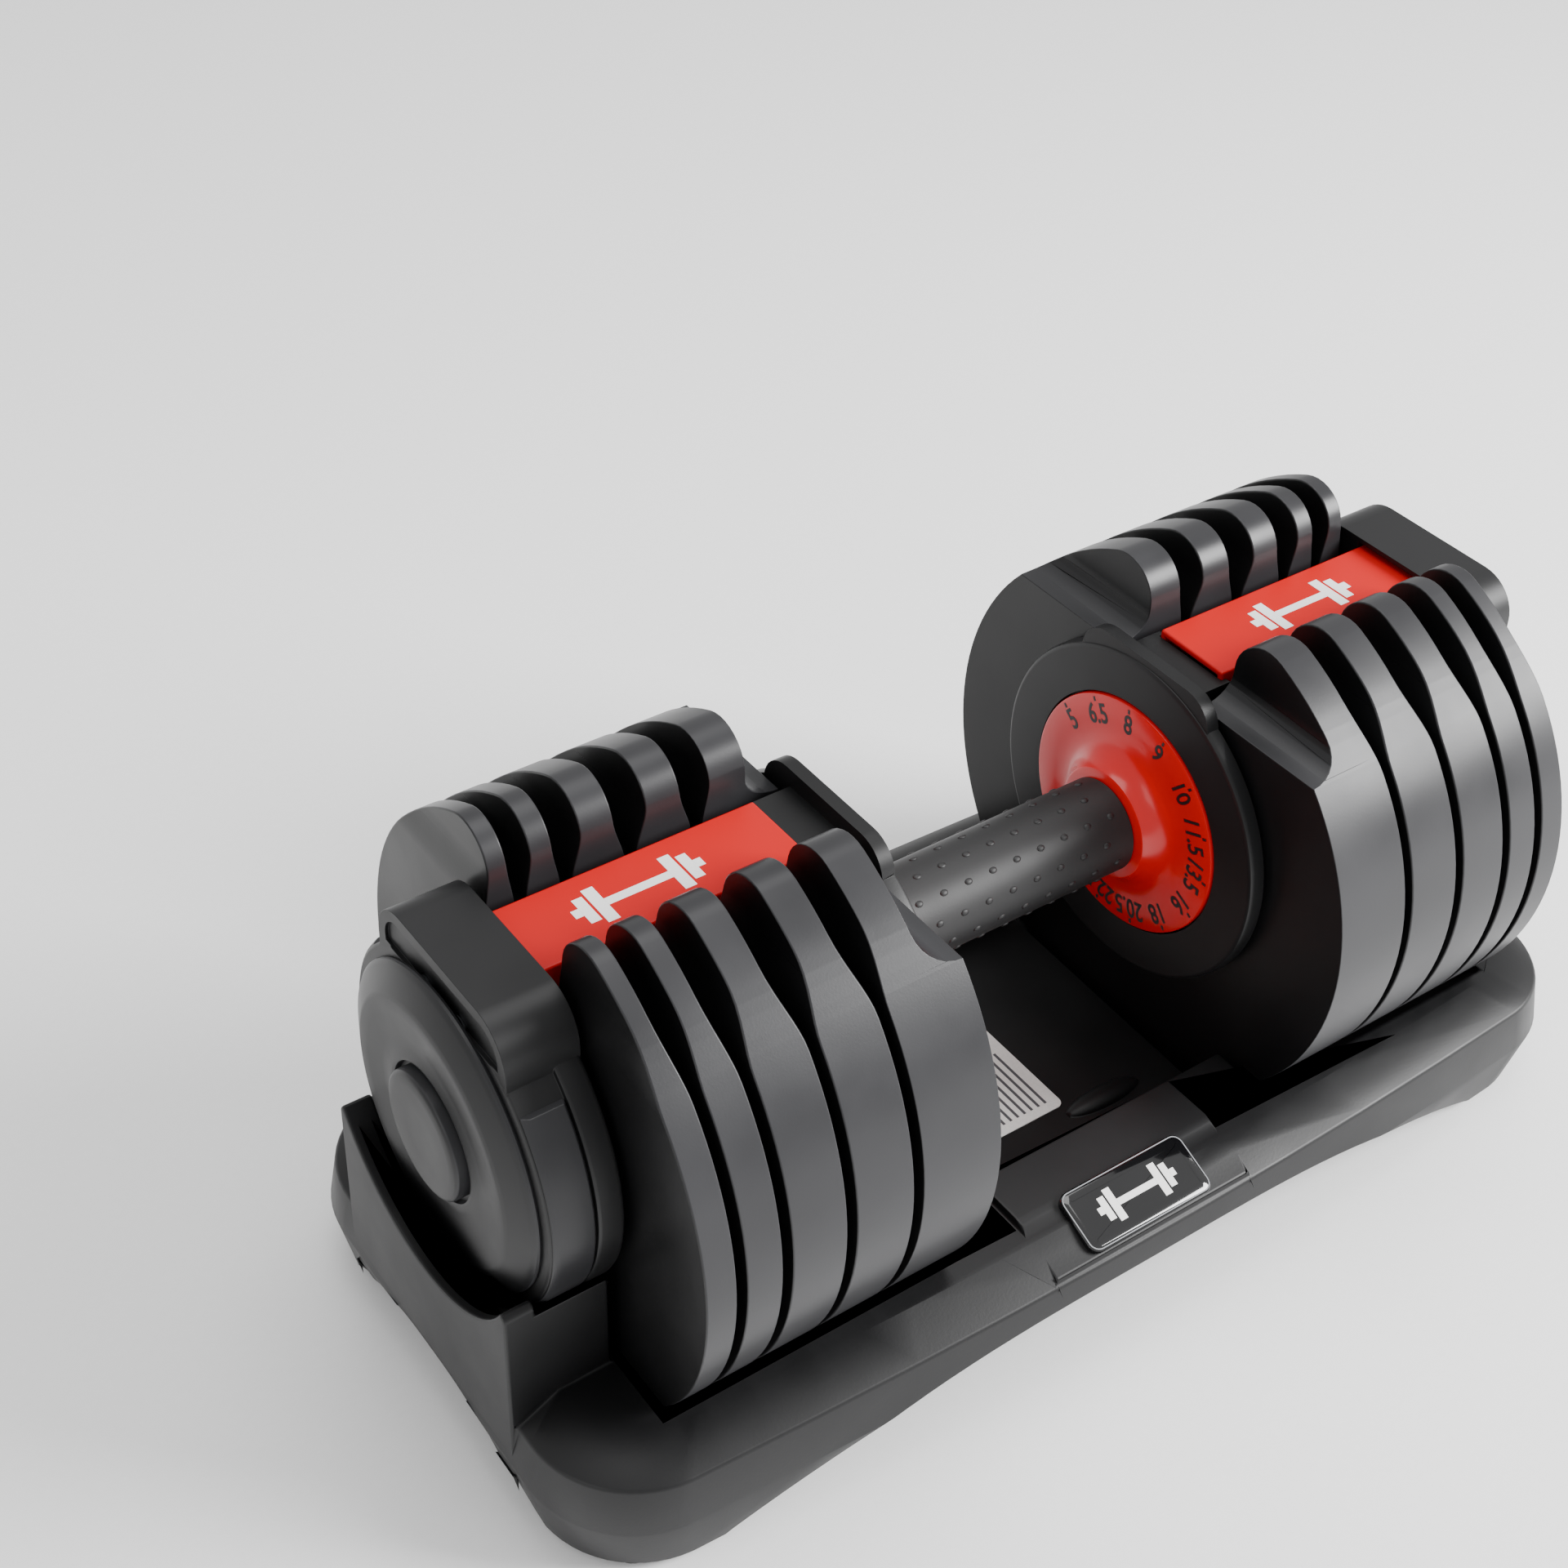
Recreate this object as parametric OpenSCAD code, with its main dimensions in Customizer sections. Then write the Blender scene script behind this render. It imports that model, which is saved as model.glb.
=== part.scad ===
// Adjustable dumbbell resting in its tray.
// Frame: +X along the handle, -Y to the front badge, +Z up, floor at Z = 0.
// All sizes are in millimetres. The two heads mirror each other about X = 0.

/* [Handle and dial] */
// Height of the handle axis above the floor
axis_z = 126; // [118:0.5:150]
// Half length between the two dial faces
dial_face = 63; // [52:0.5:75]
// Grip outside diameter
grip_d = 35; // [28:0.5:40]
// Grip bore and handle tube diameter
tube_d = 22; // [19:0.5:26]
// Fixed axle diameter
axle_d = 12; // [8:0.5:14]
// Dial radius over the printed face
dial_r = 45.5; // [38:0.5:50]
// Length of the flared dial collar
collar_len = 9; // [6:0.5:14]
// Running clearance of the rotor on the axle, on the radius
run_gap = 0.05; // [0.02:0.01:0.09]

/* [Plates] */
// Plate radius
plate_r = 100; // [85:0.5:118]
// Drop of the plate centre below the handle axis
plate_drop = 10; // [6:0.5:14]
// Thickness of the innermost plate, number 5
plate5_t = 29.5; // [24:0.5:36]
// Thickness of plate number 4
plate4_t = 21; // [17:0.5:26]
// Thickness of plate number 3
plate3_t = 19.5; // [16:0.5:24]
// Thickness of plate number 2
plate2_t = 12.5; // [10:0.5:15]
// Thickness of the outermost plate, number 1
plate1_t = 10.5; // [8:0.5:13]
// Gap between neighbouring plates
plate_gap = 3.6; // [3:0.1:5]
// Half width of the slot that lets the frame drop in
slot_half = 21; // [20:0.5:25]
// Radius of the rounded lobe tips
tip_r = 14; // [10:0.5:18]
// Height above the axis where the thinner lobes start
lobe_z = 56; // [48:0.5:64]
// Part of the thickness taken off each face of a lobe
lobe_cut = 0.2; // [0.1:0.01:0.28]
// Part taken off the handle side of the innermost lobes
lobe_notch = 0.46; // [0.3:0.01:0.5]

/* [Head frame] */
// Inner housing radius
housing_r = 64; // [56:0.5:72]
// Inner housing thickness
housing_t = 7; // [6:0.5:8]
// Half width of the red bridge
bridge_half = 15.5; // [13:0.5:18]
// Height of the red bridge top above the axis
bridge_top = 62; // [54:0.5:72]
// Radius of the round part of the end frame
end_r = 61; // [58:0.5:66]
// End frame thickness
end_t = 25; // [20:0.5:30]
// Half width of the end frame shoulder block
shoulder_half = 38; // [32:0.5:42]
// End cover outer radius
cap_r = 55; // [48:0.5:58]
// Hub cap radius
hub_r = 22; // [18:0.5:26]

/* [Tray] */
// Tray length over the legs
tray_l = 448; // [440:1:560]
// Tray width over the legs
tray_w = 222; // [210:1:290]
// Height of the brow, where the skirt meets the sloped band
brow_z = 44; // [38:0.5:50]
// How far the skirt leans in from the legs to the brow
draft = 6; // [2:0.5:10]
// Height of the deck inside the sloped band
deck_z = 52; // [48:0.5:62]
// Width of the sloped band
band_w = 15; // [10:0.5:20]
// Underside of the skirt half way between the legs
arch_z = 35; // [24:0.5:37]
// Height of the raised end saddles
saddle_z = 97; // [88:0.5:104]
// Half width of the end saddles
saddle_half = 51; // [46:0.5:56]
// Shell thickness
wall = 3; // [2.5:0.1:4]
// Foot pad thickness
foot_t = 3; // [2:0.5:5]

/* [Hidden] */
eps = 0.01;
fine = 96;
head_x0 = dial_face + housing_t + 2;
thick = [plate1_t, plate2_t, plate3_t, plate4_t, plate5_t];
p5a = head_x0;
p4a = p5a + plate5_t + plate_gap;
p3a = p4a + plate4_t + plate_gap;
p2a = p3a + plate3_t + plate_gap;
p1a = p2a + plate2_t + plate_gap;
inner_face = [p1a, p2a, p3a, p4a, p5a];
head_x1 = p1a + plate1_t;
end_x0 = head_x1 + 2.5;
end_x1 = end_x0 + end_t;
cap_x1 = end_x1 + 7;
hub_x1 = cap_x1 + 3;
plate_z = axis_z - plate_drop;
plate_bottom = plate_z - plate_r;
disc_r = slot_half - 1.5;
base_r = disc_r - 4;
lug_y = disc_r - 2.5;
lug_z = 11.5;
spindle_r = 10;
floor_z = plate_bottom + 14;
settings = 12;
step_deg = 24;
// For each plate, 1 where a setting picks it up, heaviest setting first
code = [
  [1, 1, 0, 1, 1, 1, 0, 0, 0, 0, 1, 0],
  [1, 0, 0, 0, 1, 1, 0, 0, 0, 1, 0, 0],
  [1, 1, 1, 0, 0, 1, 0, 0, 1, 0, 0, 0],
  [1, 1, 1, 1, 0, 0, 0, 1, 0, 0, 0, 0],
  [1, 1, 1, 1, 1, 0, 1, 0, 0, 0, 0, 0]
];
lug_angle = 180 - asin(9.55 / 19.5);

// ---- shapes shared by several sub-parts ----

// Round bar along X, centred on the axis height unless z is given
module xcyl(r, x0, x1, y = 0, z = axis_z) {
  translate([x0, y, z]) rotate([0, 90, 0]) cylinder(r = r, h = x1 - x0, $fn = fine);
}

// Cone along X
module xcone(ra, rb, x0, x1, z = axis_z) {
  translate([x0, 0, z]) rotate([0, 90, 0]) cylinder(r1 = ra, r2 = rb, h = x1 - x0, $fn = fine);
}

// Box from corner to corner
module box(a, b) {
  translate(a) cube([b[0] - a[0], b[1] - a[1], b[2] - a[2]]);
}

// Block with two rounded upper corners, seen along X
module arch_block(x0, x1, half, z0, z1, r) {
  box([x0, -half, z0], [x1, half, z1 - r]);
  box([x0, -half + r, z1 - r - eps], [x1, half - r, z1]);
  for (s = [-1, 1]) xcyl(r, x0, x1, s * (half - r), z1 - r);
}

// ---- tray ----

// How far the bowed long edge has come in, at x along a tray of length l
function bow_at(x, l) = let (r = (l * l / 4 + 64) / 16) r - sqrt(r * r - x * x);

// Plan of the tray: rounded corners and a front and rear edge that bow outwards
module tray_plan(inset) {
  l = tray_l - 2 * inset;
  w = tray_w - 2 * inset;
  r = 46 - inset;
  cx = l / 2 - r;
  cy = w / 2 - bow_at(cx, l) - r;
  end = concat(
    [for (k = [0 : 12]) [cx + r * cos(7.5 * k - 90), r * sin(7.5 * k - 90) - cy]],
    [for (k = [0 : 12]) [cx + r * cos(7.5 * k), r * sin(7.5 * k) + cy]]
  );
  rear = [for (k = [1 : 15]) let (x = cx * (1 - k / 8)) [x, w / 2 - bow_at(x, l)]];
  polygon(concat(end, rear, [for (p = end) -p], [for (p = rear) -p]));
}

// Everything the tray is made of before it is hollowed, drawn smaller by g
module tray_mass(g) {
  // Skirt with its drafted legs, then the sloped band
  l = tray_l - 2 * g;
  w = tray_w - 2 * g;
  lean = [1 - 2 * draft / l, 1 - 2 * draft / w];
  translate([0, 0, foot_t - g]) linear_extrude(height = brow_z - foot_t, scale = lean) tray_plan(g);
  translate([0, 0, brow_z - g])
    linear_extrude(height = deck_z - brow_z, scale = [1 - 2 * band_w / (l - 2 * draft), 1 - 2 * band_w / (w - 2 * draft)])
      scale(lean) tray_plan(g);
  // Saddle blocks at both ends
  for (s = [-1, 1])
    translate([s * (tray_l / 2 - 22), 0, 0])
      box([-18 + g, -saddle_half + g, 20 - g], [18 - g, saddle_half - g, saddle_z - g]);
  // Pedestal that carries the badge
  translate([-42 + g, 0, 0]) rotate([90, 0, 90]) linear_extrude(height = 84 - 2 * g)
    polygon([
      [-tray_w / 2 + 8 + g, 26], [-tray_w / 2 + 8 + g, brow_z + 2 - g], [-tray_w / 2 + 31, deck_z + 3 - g],
      [-60, deck_z + 3 - g], [-60, 26]
    ]);
}

// Space taken by the plates, the frame ends and the hands, grown by g
module tray_space(g) {
  well_r = plate_r + 8;
  for (s = [-1, 1]) {
    m = s * (head_x0 + head_x1) / 2;
    h = (head_x1 - head_x0) / 2 + 2.5 + g;
    xcyl(well_r + g, m - h, m + h, 0, plate_bottom - 0.3 + well_r);
    e = s * (end_x0 + end_x1) / 2;
    k = (end_x1 - end_x0) / 2 + 2.5 + g;
    xcyl(end_r + 2 + g, e - k, e + k);
    xcyl(cap_r + 3 + g, e - 60, e + 60);
  }
  // Floor between the two heads
  box([-head_x0 + 1, -58 - g, floor_z - g], [head_x0 - 1, 58 + g, 140]);
}

// Outline of an arch: half its span and its height, steep at the legs and flat on top
module arch_plan(span, rise) {
  side = [for (k = [0 : 8]) [span * (1 - k / 8), rise * (1 - pow(1 - k / 8, 2.6))]];
  polygon(concat([[-span - 1, -1], [span + 1, -1]], side, [for (k = [1 : 8]) [-side[8 - k][0], side[8 - k][1]]]));
}

module tray() {
  color("#222222") {
    difference() {
      tray_mass(0);
      tray_space(0);
      difference() {
        tray_mass(wall);
        tray_space(wall);
      }
      // Long gentle arches between the four legs
      for (s = [-1, 1]) {
        translate([0, s * (tray_w / 2 - 8) + 24, 0]) rotate([90, 0, 0]) linear_extrude(height = 48)
          arch_plan(tray_l / 2 - 36, arch_z);
        translate([s * (tray_l / 2 - 8) - 18, 0, 0]) rotate([90, 0, 90]) linear_extrude(height = 36)
          arch_plan(tray_w / 2 - 40, arch_z - 5);
      }
      badge_shape(0.2);
    }
    // Ribs that keep the plates apart
    intersection() {
      for (s = [-1, 1], x = [p4a, p3a, p2a, p1a])
        translate([s * (x - plate_gap / 2), 0, 0]) box([-1, -66, plate_bottom - 6], [1, 66, deck_z - 8]);
      xcyl(plate_r + 9.5, -tray_l / 2, tray_l / 2, 0, plate_z + 7.7);
    }
    // Bosses that carry the feet, up into the underside of the sloped band
    for (sx = [-1, 1], sy = [-1, 1])
      translate([sx * (tray_l / 2 - 30), sy * (tray_w / 2 - 30), foot_t])
        cylinder(r = 10, h = brow_z - foot_t - 2, $fn = fine);
  }
}

// Badge body, lying on the slope of the pedestal
module badge_shape(g) {
  translate([0, -tray_w / 2 + 20, brow_z + 7.3]) rotate([26, 0, 0])
    box([-27 - g, -11.5 - g, -2 - g], [27 + g, 11.5 + g, 3 + g]);
}

module tray_badge() {
  color("#0c0c0d") badge_shape(0);
}

module tray_label() {
  color("#f4f4f4") box([-32, -32, floor_z], [22, 42, floor_z + 0.4]);
}

module tray_feet() {
  color("#3a3a3a")
    for (sx = [-1, 1], sy = [-1, 1])
      translate([sx * (tray_l / 2 - 30), sy * (tray_w / 2 - 30), 0]) cylinder(r = 9, h = foot_t, $fn = fine);
}

// ---- fixed frame of the dumbbell ----

module axle() {
  color("#9a9da0") xcyl(axle_d / 2, -end_x1 + 4, end_x1 - 4);
}

module axle_nuts() {
  color("#8d9092")
    for (s = [-1, 1])
      difference() {
        translate([s * (end_x1 - 7), 0, axis_z]) rotate([0, 90, 0])
          cylinder(r = 11, h = 8, center = true, $fn = 6);
        xcyl(axle_d / 2, -tray_l, tray_l);
      }
}

// Plain bushes that hold the axle in the end frames
module axle_bushes() {
  color("#b08d57")
    for (s = [0, 1]) mirror([s, 0, 0])
      difference() {
        xcyl(spindle_r, end_x0 + 0.5, end_x1 - 11);
        xcyl(axle_d / 2, end_x0 - 1, end_x1);
      }
}

module inner_housing() {
  x1 = dial_face + housing_t;
  difference() {
    union() {
      xcyl(housing_r, dial_face + 1, x1);
      arch_block(dial_face + 2, x1, 32, axis_z, axis_z + bridge_top + 4, 12);
      // Neck that reaches through the slot of the innermost plate
      box([x1 - 1, -slot_half + 3, axis_z + 24], [x1 + 18, slot_half - 3, axis_z + bridge_top - 2.5]);
    }
    // Seat of the dial and the spindle bore
    xcyl(dial_r + 0.6, dial_face, dial_face + 4.4);
    xcyl(spindle_r + 2.3, dial_face, x1 + 1);
    bridge_shape(0.1);
  }
}

module inner_housing_right() {
  color("#1c1c1d") inner_housing();
}

module inner_housing_left() {
  color("#1c1c1d") mirror([1, 0, 0]) inner_housing();
}

// End frame: round lower part and a shoulder block on top
module end_frame() {
  difference() {
    union() {
      xcyl(end_r, end_x0, end_x1 - 3);
      xcone(end_r, end_r - 3, end_x1 - 3, end_x1);
      arch_block(end_x0, end_x1, shoulder_half, axis_z, axis_z + bridge_top + 4, 14);
    }
    bridge_shape(0.1);
    // Bore of the bush and room for the nut
    xcyl(spindle_r, end_x0 - 1, end_x1 - 11);
    xcyl(13.5, end_x1 - 11.2, end_x1 + 1);
    end_screw_set(0.05);
    // Seam above the round part
    for (s = [-1, 1]) box([end_x0 - 1, s * end_r - 2, axis_z - 12], [end_x1 + 1, s * end_r + 2, axis_z - 11]);
  }
}

module end_frame_right() {
  color("#1f1f20") end_frame();
}

module end_frame_left() {
  color("#1f1f20") mirror([1, 0, 0]) end_frame();
}

// Red channel that ties the inner housing to the end frame
module bridge_shape(g) {
  x0 = dial_face + housing_t + 15.9;
  x1 = end_x0 + 6;
  z1 = axis_z + bridge_top;
  difference() {
    box([x0 - g, -bridge_half - g, z1 - 15 - g], [x1 + g, bridge_half + g, z1 + g]);
    box([x0 - 1, -bridge_half + 2.4 + g, z1 - 16], [x1 + 1, bridge_half - 2.4 - g, z1 - 2.4 - g]);
  }
}

module bridge_right() {
  color("#e8262a") bridge_shape(0);
}

module bridge_left() {
  color("#e8262a") mirror([1, 0, 0]) bridge_shape(0);
}

// Two screws in the face of each shoulder block
module end_screw_set(g) {
  for (y = [-10, 10]) {
    xcyl(2 + g, end_x1 - 16, end_x1 - 2, y, axis_z + bridge_top - 13);
    xcyl(3.6 + g, end_x1 - 3.5, end_x1 + g - 1, y, axis_z + bridge_top - 13);
  }
}

module end_screws() {
  color("#3c3d3f")
    for (s = [0, 1]) mirror([s, 0, 0])
      difference() {
        end_screw_set(0);
        for (y = [-10, 10])
          translate([end_x1 - 1.9, y, axis_z + bridge_top - 13]) rotate([0, 90, 0]) cylinder(r = 1.7, h = 4, $fn = 6);
      }
}

// Round end cover with a conical edge and a groove for the hub cap
module end_cover() {
  difference() {
    union() {
      xcyl(cap_r, end_x1, end_x1 + 1.5);
      xcone(cap_r, cap_r - 9, end_x1 + 1.5, cap_x1);
    }
    xcyl(13.5, end_x1 - 1, cap_x1 - 3);
    xcyl(hub_r + 1.2, cap_x1 - 3, cap_x1 + 1);
  }
}

module end_cover_right() {
  color("#1d1d1e") end_cover();
}

module end_cover_left() {
  color("#1d1d1e") mirror([1, 0, 0]) end_cover();
}

module hub_cap() {
  xcyl(hub_r, cap_x1 - 3, hub_x1 - 1.5);
  xcone(hub_r, hub_r - 1.5, hub_x1 - 1.5, hub_x1);
}

module hub_cap_right() {
  color("#1a1a1b") hub_cap();
}

module hub_cap_left() {
  color("#1a1a1b") mirror([1, 0, 0]) hub_cap();
}

// ---- rotor: grip, dials and selectors turn together on the axle ----

module handle_tube() {
  color("#a0a3a6") difference() {
    xcyl(tube_d / 2, -dial_face + collar_len - 4, dial_face - collar_len + 4);
    xcyl(axle_d / 2 + run_gap, -dial_face, dial_face);
  }
}

module grip() {
  color("#1b1b1c") difference() {
    xcyl(grip_d / 2, -dial_face + collar_len, dial_face - collar_len);
    xcyl(tube_d / 2, -dial_face, dial_face);
  }
}

// Dial: printed disc with a flared collar round the grip end
module dial() {
  back = dial_face + 4;
  flare = 12;
  difference() {
    union() {
      xcyl(dial_r, dial_face, back);
      xcyl(spindle_r + 2, back - eps, dial_face + housing_t + 0.6);
      translate([dial_face - collar_len, 0, axis_z]) rotate([0, 90, 0]) rotate_extrude($fn = fine)
        difference() {
          square([grip_d / 2 + 3 + flare, collar_len + eps]);
          translate([grip_d / 2 + 3 + flare, collar_len - flare]) circle(r = flare, $fn = fine);
        }
    }
    xcyl(tube_d / 2, dial_face - collar_len - 1, dial_face - collar_len + 4);
    xcyl(axle_d / 2 + run_gap, dial_face - collar_len, back + housing_t);
  }
}

module dial_right() {
  color("#e01b24") dial();
}

module dial_left() {
  color("#e01b24") mirror([1, 0, 0]) dial();
}

// Spindle sleeve that carries the five selector discs
module selector() {
  difference() {
    xcyl(spindle_r, dial_face + housing_t + 0.6, end_x0 - 0.5);
    xcyl(axle_d / 2 + run_gap, dial_face, end_x0);
  }
}

module selector_right() {
  color("#b9bcbf") selector();
}

module selector_left() {
  color("#b9bcbf") mirror([1, 0, 0]) selector();
}

// Plan of the raised part of a disc, one wedge for each setting that picks up
module disc_plan(i) {
  circle(r = base_r - 2, $fn = 24);
  for (k = [0 : settings - 1])
    if (code[i][k] == 1)
      rotate(lug_angle - step_deg * k) polygon([[0, -3], [40, -8.9], [40, 8.9], [0, 3]]);
}

// One selector disc: small round body, full radius where a setting picks up
module selector_disc(i) {
  x = inner_face[i] + thick[i] * 0.72;
  difference() {
    union() {
      xcyl(base_r, x - 2, x + 2);
      intersection() {
        xcyl(disc_r, x - 1.8, x + 1.8);
        translate([x - 3, 0, axis_z]) rotate([90, 0, 90]) linear_extrude(height = 6) disc_plan(i);
      }
    }
    xcyl(spindle_r, x - 3, x + 3);
  }
}

module selector_discs_right() {
  color("#c9a227") for (i = [0 : 4]) selector_disc(i);
}

module selector_discs_left() {
  color("#c9a227") mirror([1, 0, 0]) for (i = [0 : 4]) selector_disc(i);
}

// ---- plates ----

// Slot open at the top, with a round bottom round the axis
module slot(x0, x1, half) {
  xcyl(half, x0, x1);
  box([x0, -half, axis_z], [x1, half, axis_z + plate_r + 20]);
}

// Rounds the two lobe tips off
module tip_cuts(x0, x1) {
  d = plate_r - tip_r;
  yc = slot_half + tip_r;
  zc = sqrt(d * d - yc * yc);
  for (s = [0, 1]) mirror([0, s, 0])
    difference() {
      translate([x0, 0, plate_z]) rotate([90, 0, 90]) linear_extrude(height = x1 - x0)
        polygon([
          [slot_half - 2, zc], [yc, zc], [yc + yc * 0.5, zc + zc * 0.5],
          [yc + yc * 0.5, zc + 60], [slot_half - 2, zc + 60]
        ]);
      xcyl(tip_r - 0.2, x0 - 1, x1 + 1, yc, plate_z + zc);
    }
}

// Wedge that thins the lobes from the face at x, going d deep
module lobe_wedge(x, d) {
  z0 = axis_z + lobe_z;
  z1 = z0 + abs(d) * 1.4;
  e = d > 0 ? -1 : 1;
  translate([0, plate_r + 10, 0]) rotate([90, 0, 0]) linear_extrude(height = 2 * plate_r + 20)
    polygon([[x + e, z0], [x, z0], [x + d, z1], [x + d, axis_z + plate_r + 20], [x + e, axis_z + plate_r + 20]]);
}

// Moulded cover of one plate: x0 is the face towards the handle
module plate_cover(i) {
  x0 = inner_face[i];
  x1 = x0 + thick[i];
  inner_cut = i == 4 ? lobe_notch : lobe_cut;
  outer_cut = i == 4 ? 0.12 : lobe_cut;
  c = min(3, thick[i] * 0.22);
  difference() {
    union() {
      xcyl(plate_r, x0 + c, x1 - c, 0, plate_z);
      xcone(plate_r - c, plate_r, x0, x0 + c + eps, plate_z);
      xcone(plate_r, plate_r - c, x1 - c - eps, x1, plate_z);
    }
    slot(x0 - 1, x1 + 1, slot_half);
    tip_cuts(x0 - 1, x1 + 1);
    lobe_wedge(x0, thick[i] * inner_cut);
    lobe_wedge(x1, -thick[i] * outer_cut);
    // Chamber of the core and the window of its lug
    core_body(i, 0.1);
  }
}

// Cast core: heavy body in the cover, one lug reaching into the slot
module core_body(i, g) {
  x0 = inner_face[i];
  x1 = x0 + thick[i];
  lug_x = x0 + thick[i] * 0.72;
  difference() {
    xcyl(plate_r - 9 + g, x0 + 2.5 - g, x1 - 2 + g, 0, plate_z);
    slot(x0, x1, slot_half + 4 - g);
    box([x0, -plate_r, axis_z + lobe_z - 4 + g], [x0 + 60, plate_r, axis_z + plate_r]);
  }
  box([lug_x - 1.8 - g, -slot_half - 6, axis_z + lug_z - g], [lug_x + 1.8 + g, -lug_y, axis_z + lug_z + 10 + g]);
}

module plate1_right() { color("#232324") plate_cover(0); }
module plate2_right() { color("#232324") plate_cover(1); }
module plate3_right() { color("#232324") plate_cover(2); }
module plate4_right() { color("#232324") plate_cover(3); }
module plate5_right() { color("#232324") plate_cover(4); }
module plate1_left() { color("#232324") mirror([1, 0, 0]) plate_cover(0); }
module plate2_left() { color("#232324") mirror([1, 0, 0]) plate_cover(1); }
module plate3_left() { color("#232324") mirror([1, 0, 0]) plate_cover(2); }
module plate4_left() { color("#232324") mirror([1, 0, 0]) plate_cover(3); }
module plate5_left() { color("#232324") mirror([1, 0, 0]) plate_cover(4); }
module core1_right() { color("#6f7275") core_body(0, 0); }
module core2_right() { color("#6f7275") core_body(1, 0); }
module core3_right() { color("#6f7275") core_body(2, 0); }
module core4_right() { color("#6f7275") core_body(3, 0); }
module core5_right() { color("#6f7275") core_body(4, 0); }
module core1_left() { color("#6f7275") mirror([1, 0, 0]) core_body(0, 0); }
module core2_left() { color("#6f7275") mirror([1, 0, 0]) core_body(1, 0); }
module core3_left() { color("#6f7275") mirror([1, 0, 0]) core_body(2, 0); }
module core4_left() { color("#6f7275") mirror([1, 0, 0]) core_body(3, 0); }
module core5_left() { color("#6f7275") mirror([1, 0, 0]) core_body(4, 0); }

tray();
tray_feet();
tray_badge();
tray_label();
axle();
axle_nuts();
axle_bushes();
inner_housing_left();
inner_housing_right();
end_frame_left();
end_frame_right();
bridge_left();
bridge_right();
end_screws();
end_cover_left();
end_cover_right();
hub_cap_left();
hub_cap_right();
grip();
handle_tube();
dial_left();
dial_right();
selector_left();
selector_right();
selector_discs_left();
selector_discs_right();
plate1_left();
plate2_left();
plate3_left();
plate4_left();
plate5_left();
plate1_right();
plate2_right();
plate3_right();
plate4_right();
plate5_right();
core1_left();
core2_left();
core3_left();
core4_left();
core5_left();
core1_right();
core2_right();
core3_right();
core4_right();
core5_right();
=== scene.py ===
import math

import bpy
from mathutils import Matrix, Vector


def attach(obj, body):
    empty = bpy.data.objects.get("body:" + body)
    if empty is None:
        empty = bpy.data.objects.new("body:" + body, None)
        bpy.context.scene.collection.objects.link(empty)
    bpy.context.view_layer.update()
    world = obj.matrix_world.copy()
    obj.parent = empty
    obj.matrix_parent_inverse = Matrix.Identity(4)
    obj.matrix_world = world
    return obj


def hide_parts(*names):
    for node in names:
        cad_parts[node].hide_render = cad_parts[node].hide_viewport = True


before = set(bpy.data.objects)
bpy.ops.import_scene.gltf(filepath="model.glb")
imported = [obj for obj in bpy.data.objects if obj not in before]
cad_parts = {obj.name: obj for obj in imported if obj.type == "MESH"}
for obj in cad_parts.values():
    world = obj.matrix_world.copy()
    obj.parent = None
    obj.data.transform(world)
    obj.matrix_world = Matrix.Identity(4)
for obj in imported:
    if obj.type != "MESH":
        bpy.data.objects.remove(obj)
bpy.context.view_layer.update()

# ---- camera ----
# Stands before the left head and looks down along the handle. Sizes in this
# script are millimetres unless a line says metres; MM turns them to metres.
MM = 0.001
turn, height, tilt = math.radians(-36.18), math.radians(38.7), math.radians(1.85)
behind = Vector((math.sin(turn) * math.cos(height), -math.cos(turn) * math.cos(height), math.sin(height)))
level = Vector((math.cos(turn), math.sin(turn), 0.0))
lift = behind.cross(level)
rightward = level * math.cos(tilt) + lift * math.sin(tilt)
upward = lift * math.cos(tilt) - level * math.sin(tilt)
bpy.ops.object.camera_add(
    location=(-0.4287, -0.4696, 0.6709),
    rotation=Matrix((rightward, upward, behind)).transposed().to_euler(),
)
camera = bpy.context.object
camera.data.sensor_width = 36.0
camera.data.lens = 55.9
bpy.context.scene.camera = camera

# ---- tray ----
# One injection-moulded ABS shell with four legs: a skirt, a sloped band, wells
# that hold the plates, a saddle at each end for the head frames, and a raised
# middle that carries the badge. The dumbbell stands in it loose.
TRAY_LENGTH, TRAY_WIDTH = 448.0, 222.0
LEG_FOOT, BROW, DECK = 3.0, 44.0, 52.0
# The legs stand in by TUCK, then the skirt swells by TUCK_OUT up to the height
# WIDEST and draws in again by TUCK_IN up to the brow.
TUCK, TUCK_OUT, TUCK_IN, WIDEST = 8.0, 4.5, 2.5, 26.0
BAND = 15.0
CORNER, BOW = 46.0, 8.0
SHELL = 3.0
AXIS = 126.0
WELL_RADIUS, WELL_CENTRE = 108.0, 123.7
WELL_IN, WELL_OUT = 69.5, 181.9
SADDLE_MIDDLE, SADDLE_DEPTH, SADDLE_HALF, SADDLE_TOP = 202.0, 36.0, 53.0, 97.0
END_ARC, COVER_ARC = 63.0, 58.0
FLOOR = 30.0
FOOT_X, FOOT_Y = 194.0, 81.0


def only(*chosen):
    """Leaves just these selected, the last one active."""
    if bpy.context.object and bpy.context.object.mode != "OBJECT":
        bpy.ops.object.mode_set(mode="OBJECT")
    bpy.ops.object.select_all(action="DESELECT")
    for piece in chosen:
        piece.select_set(True)
        bpy.context.view_layer.objects.active = piece


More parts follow.
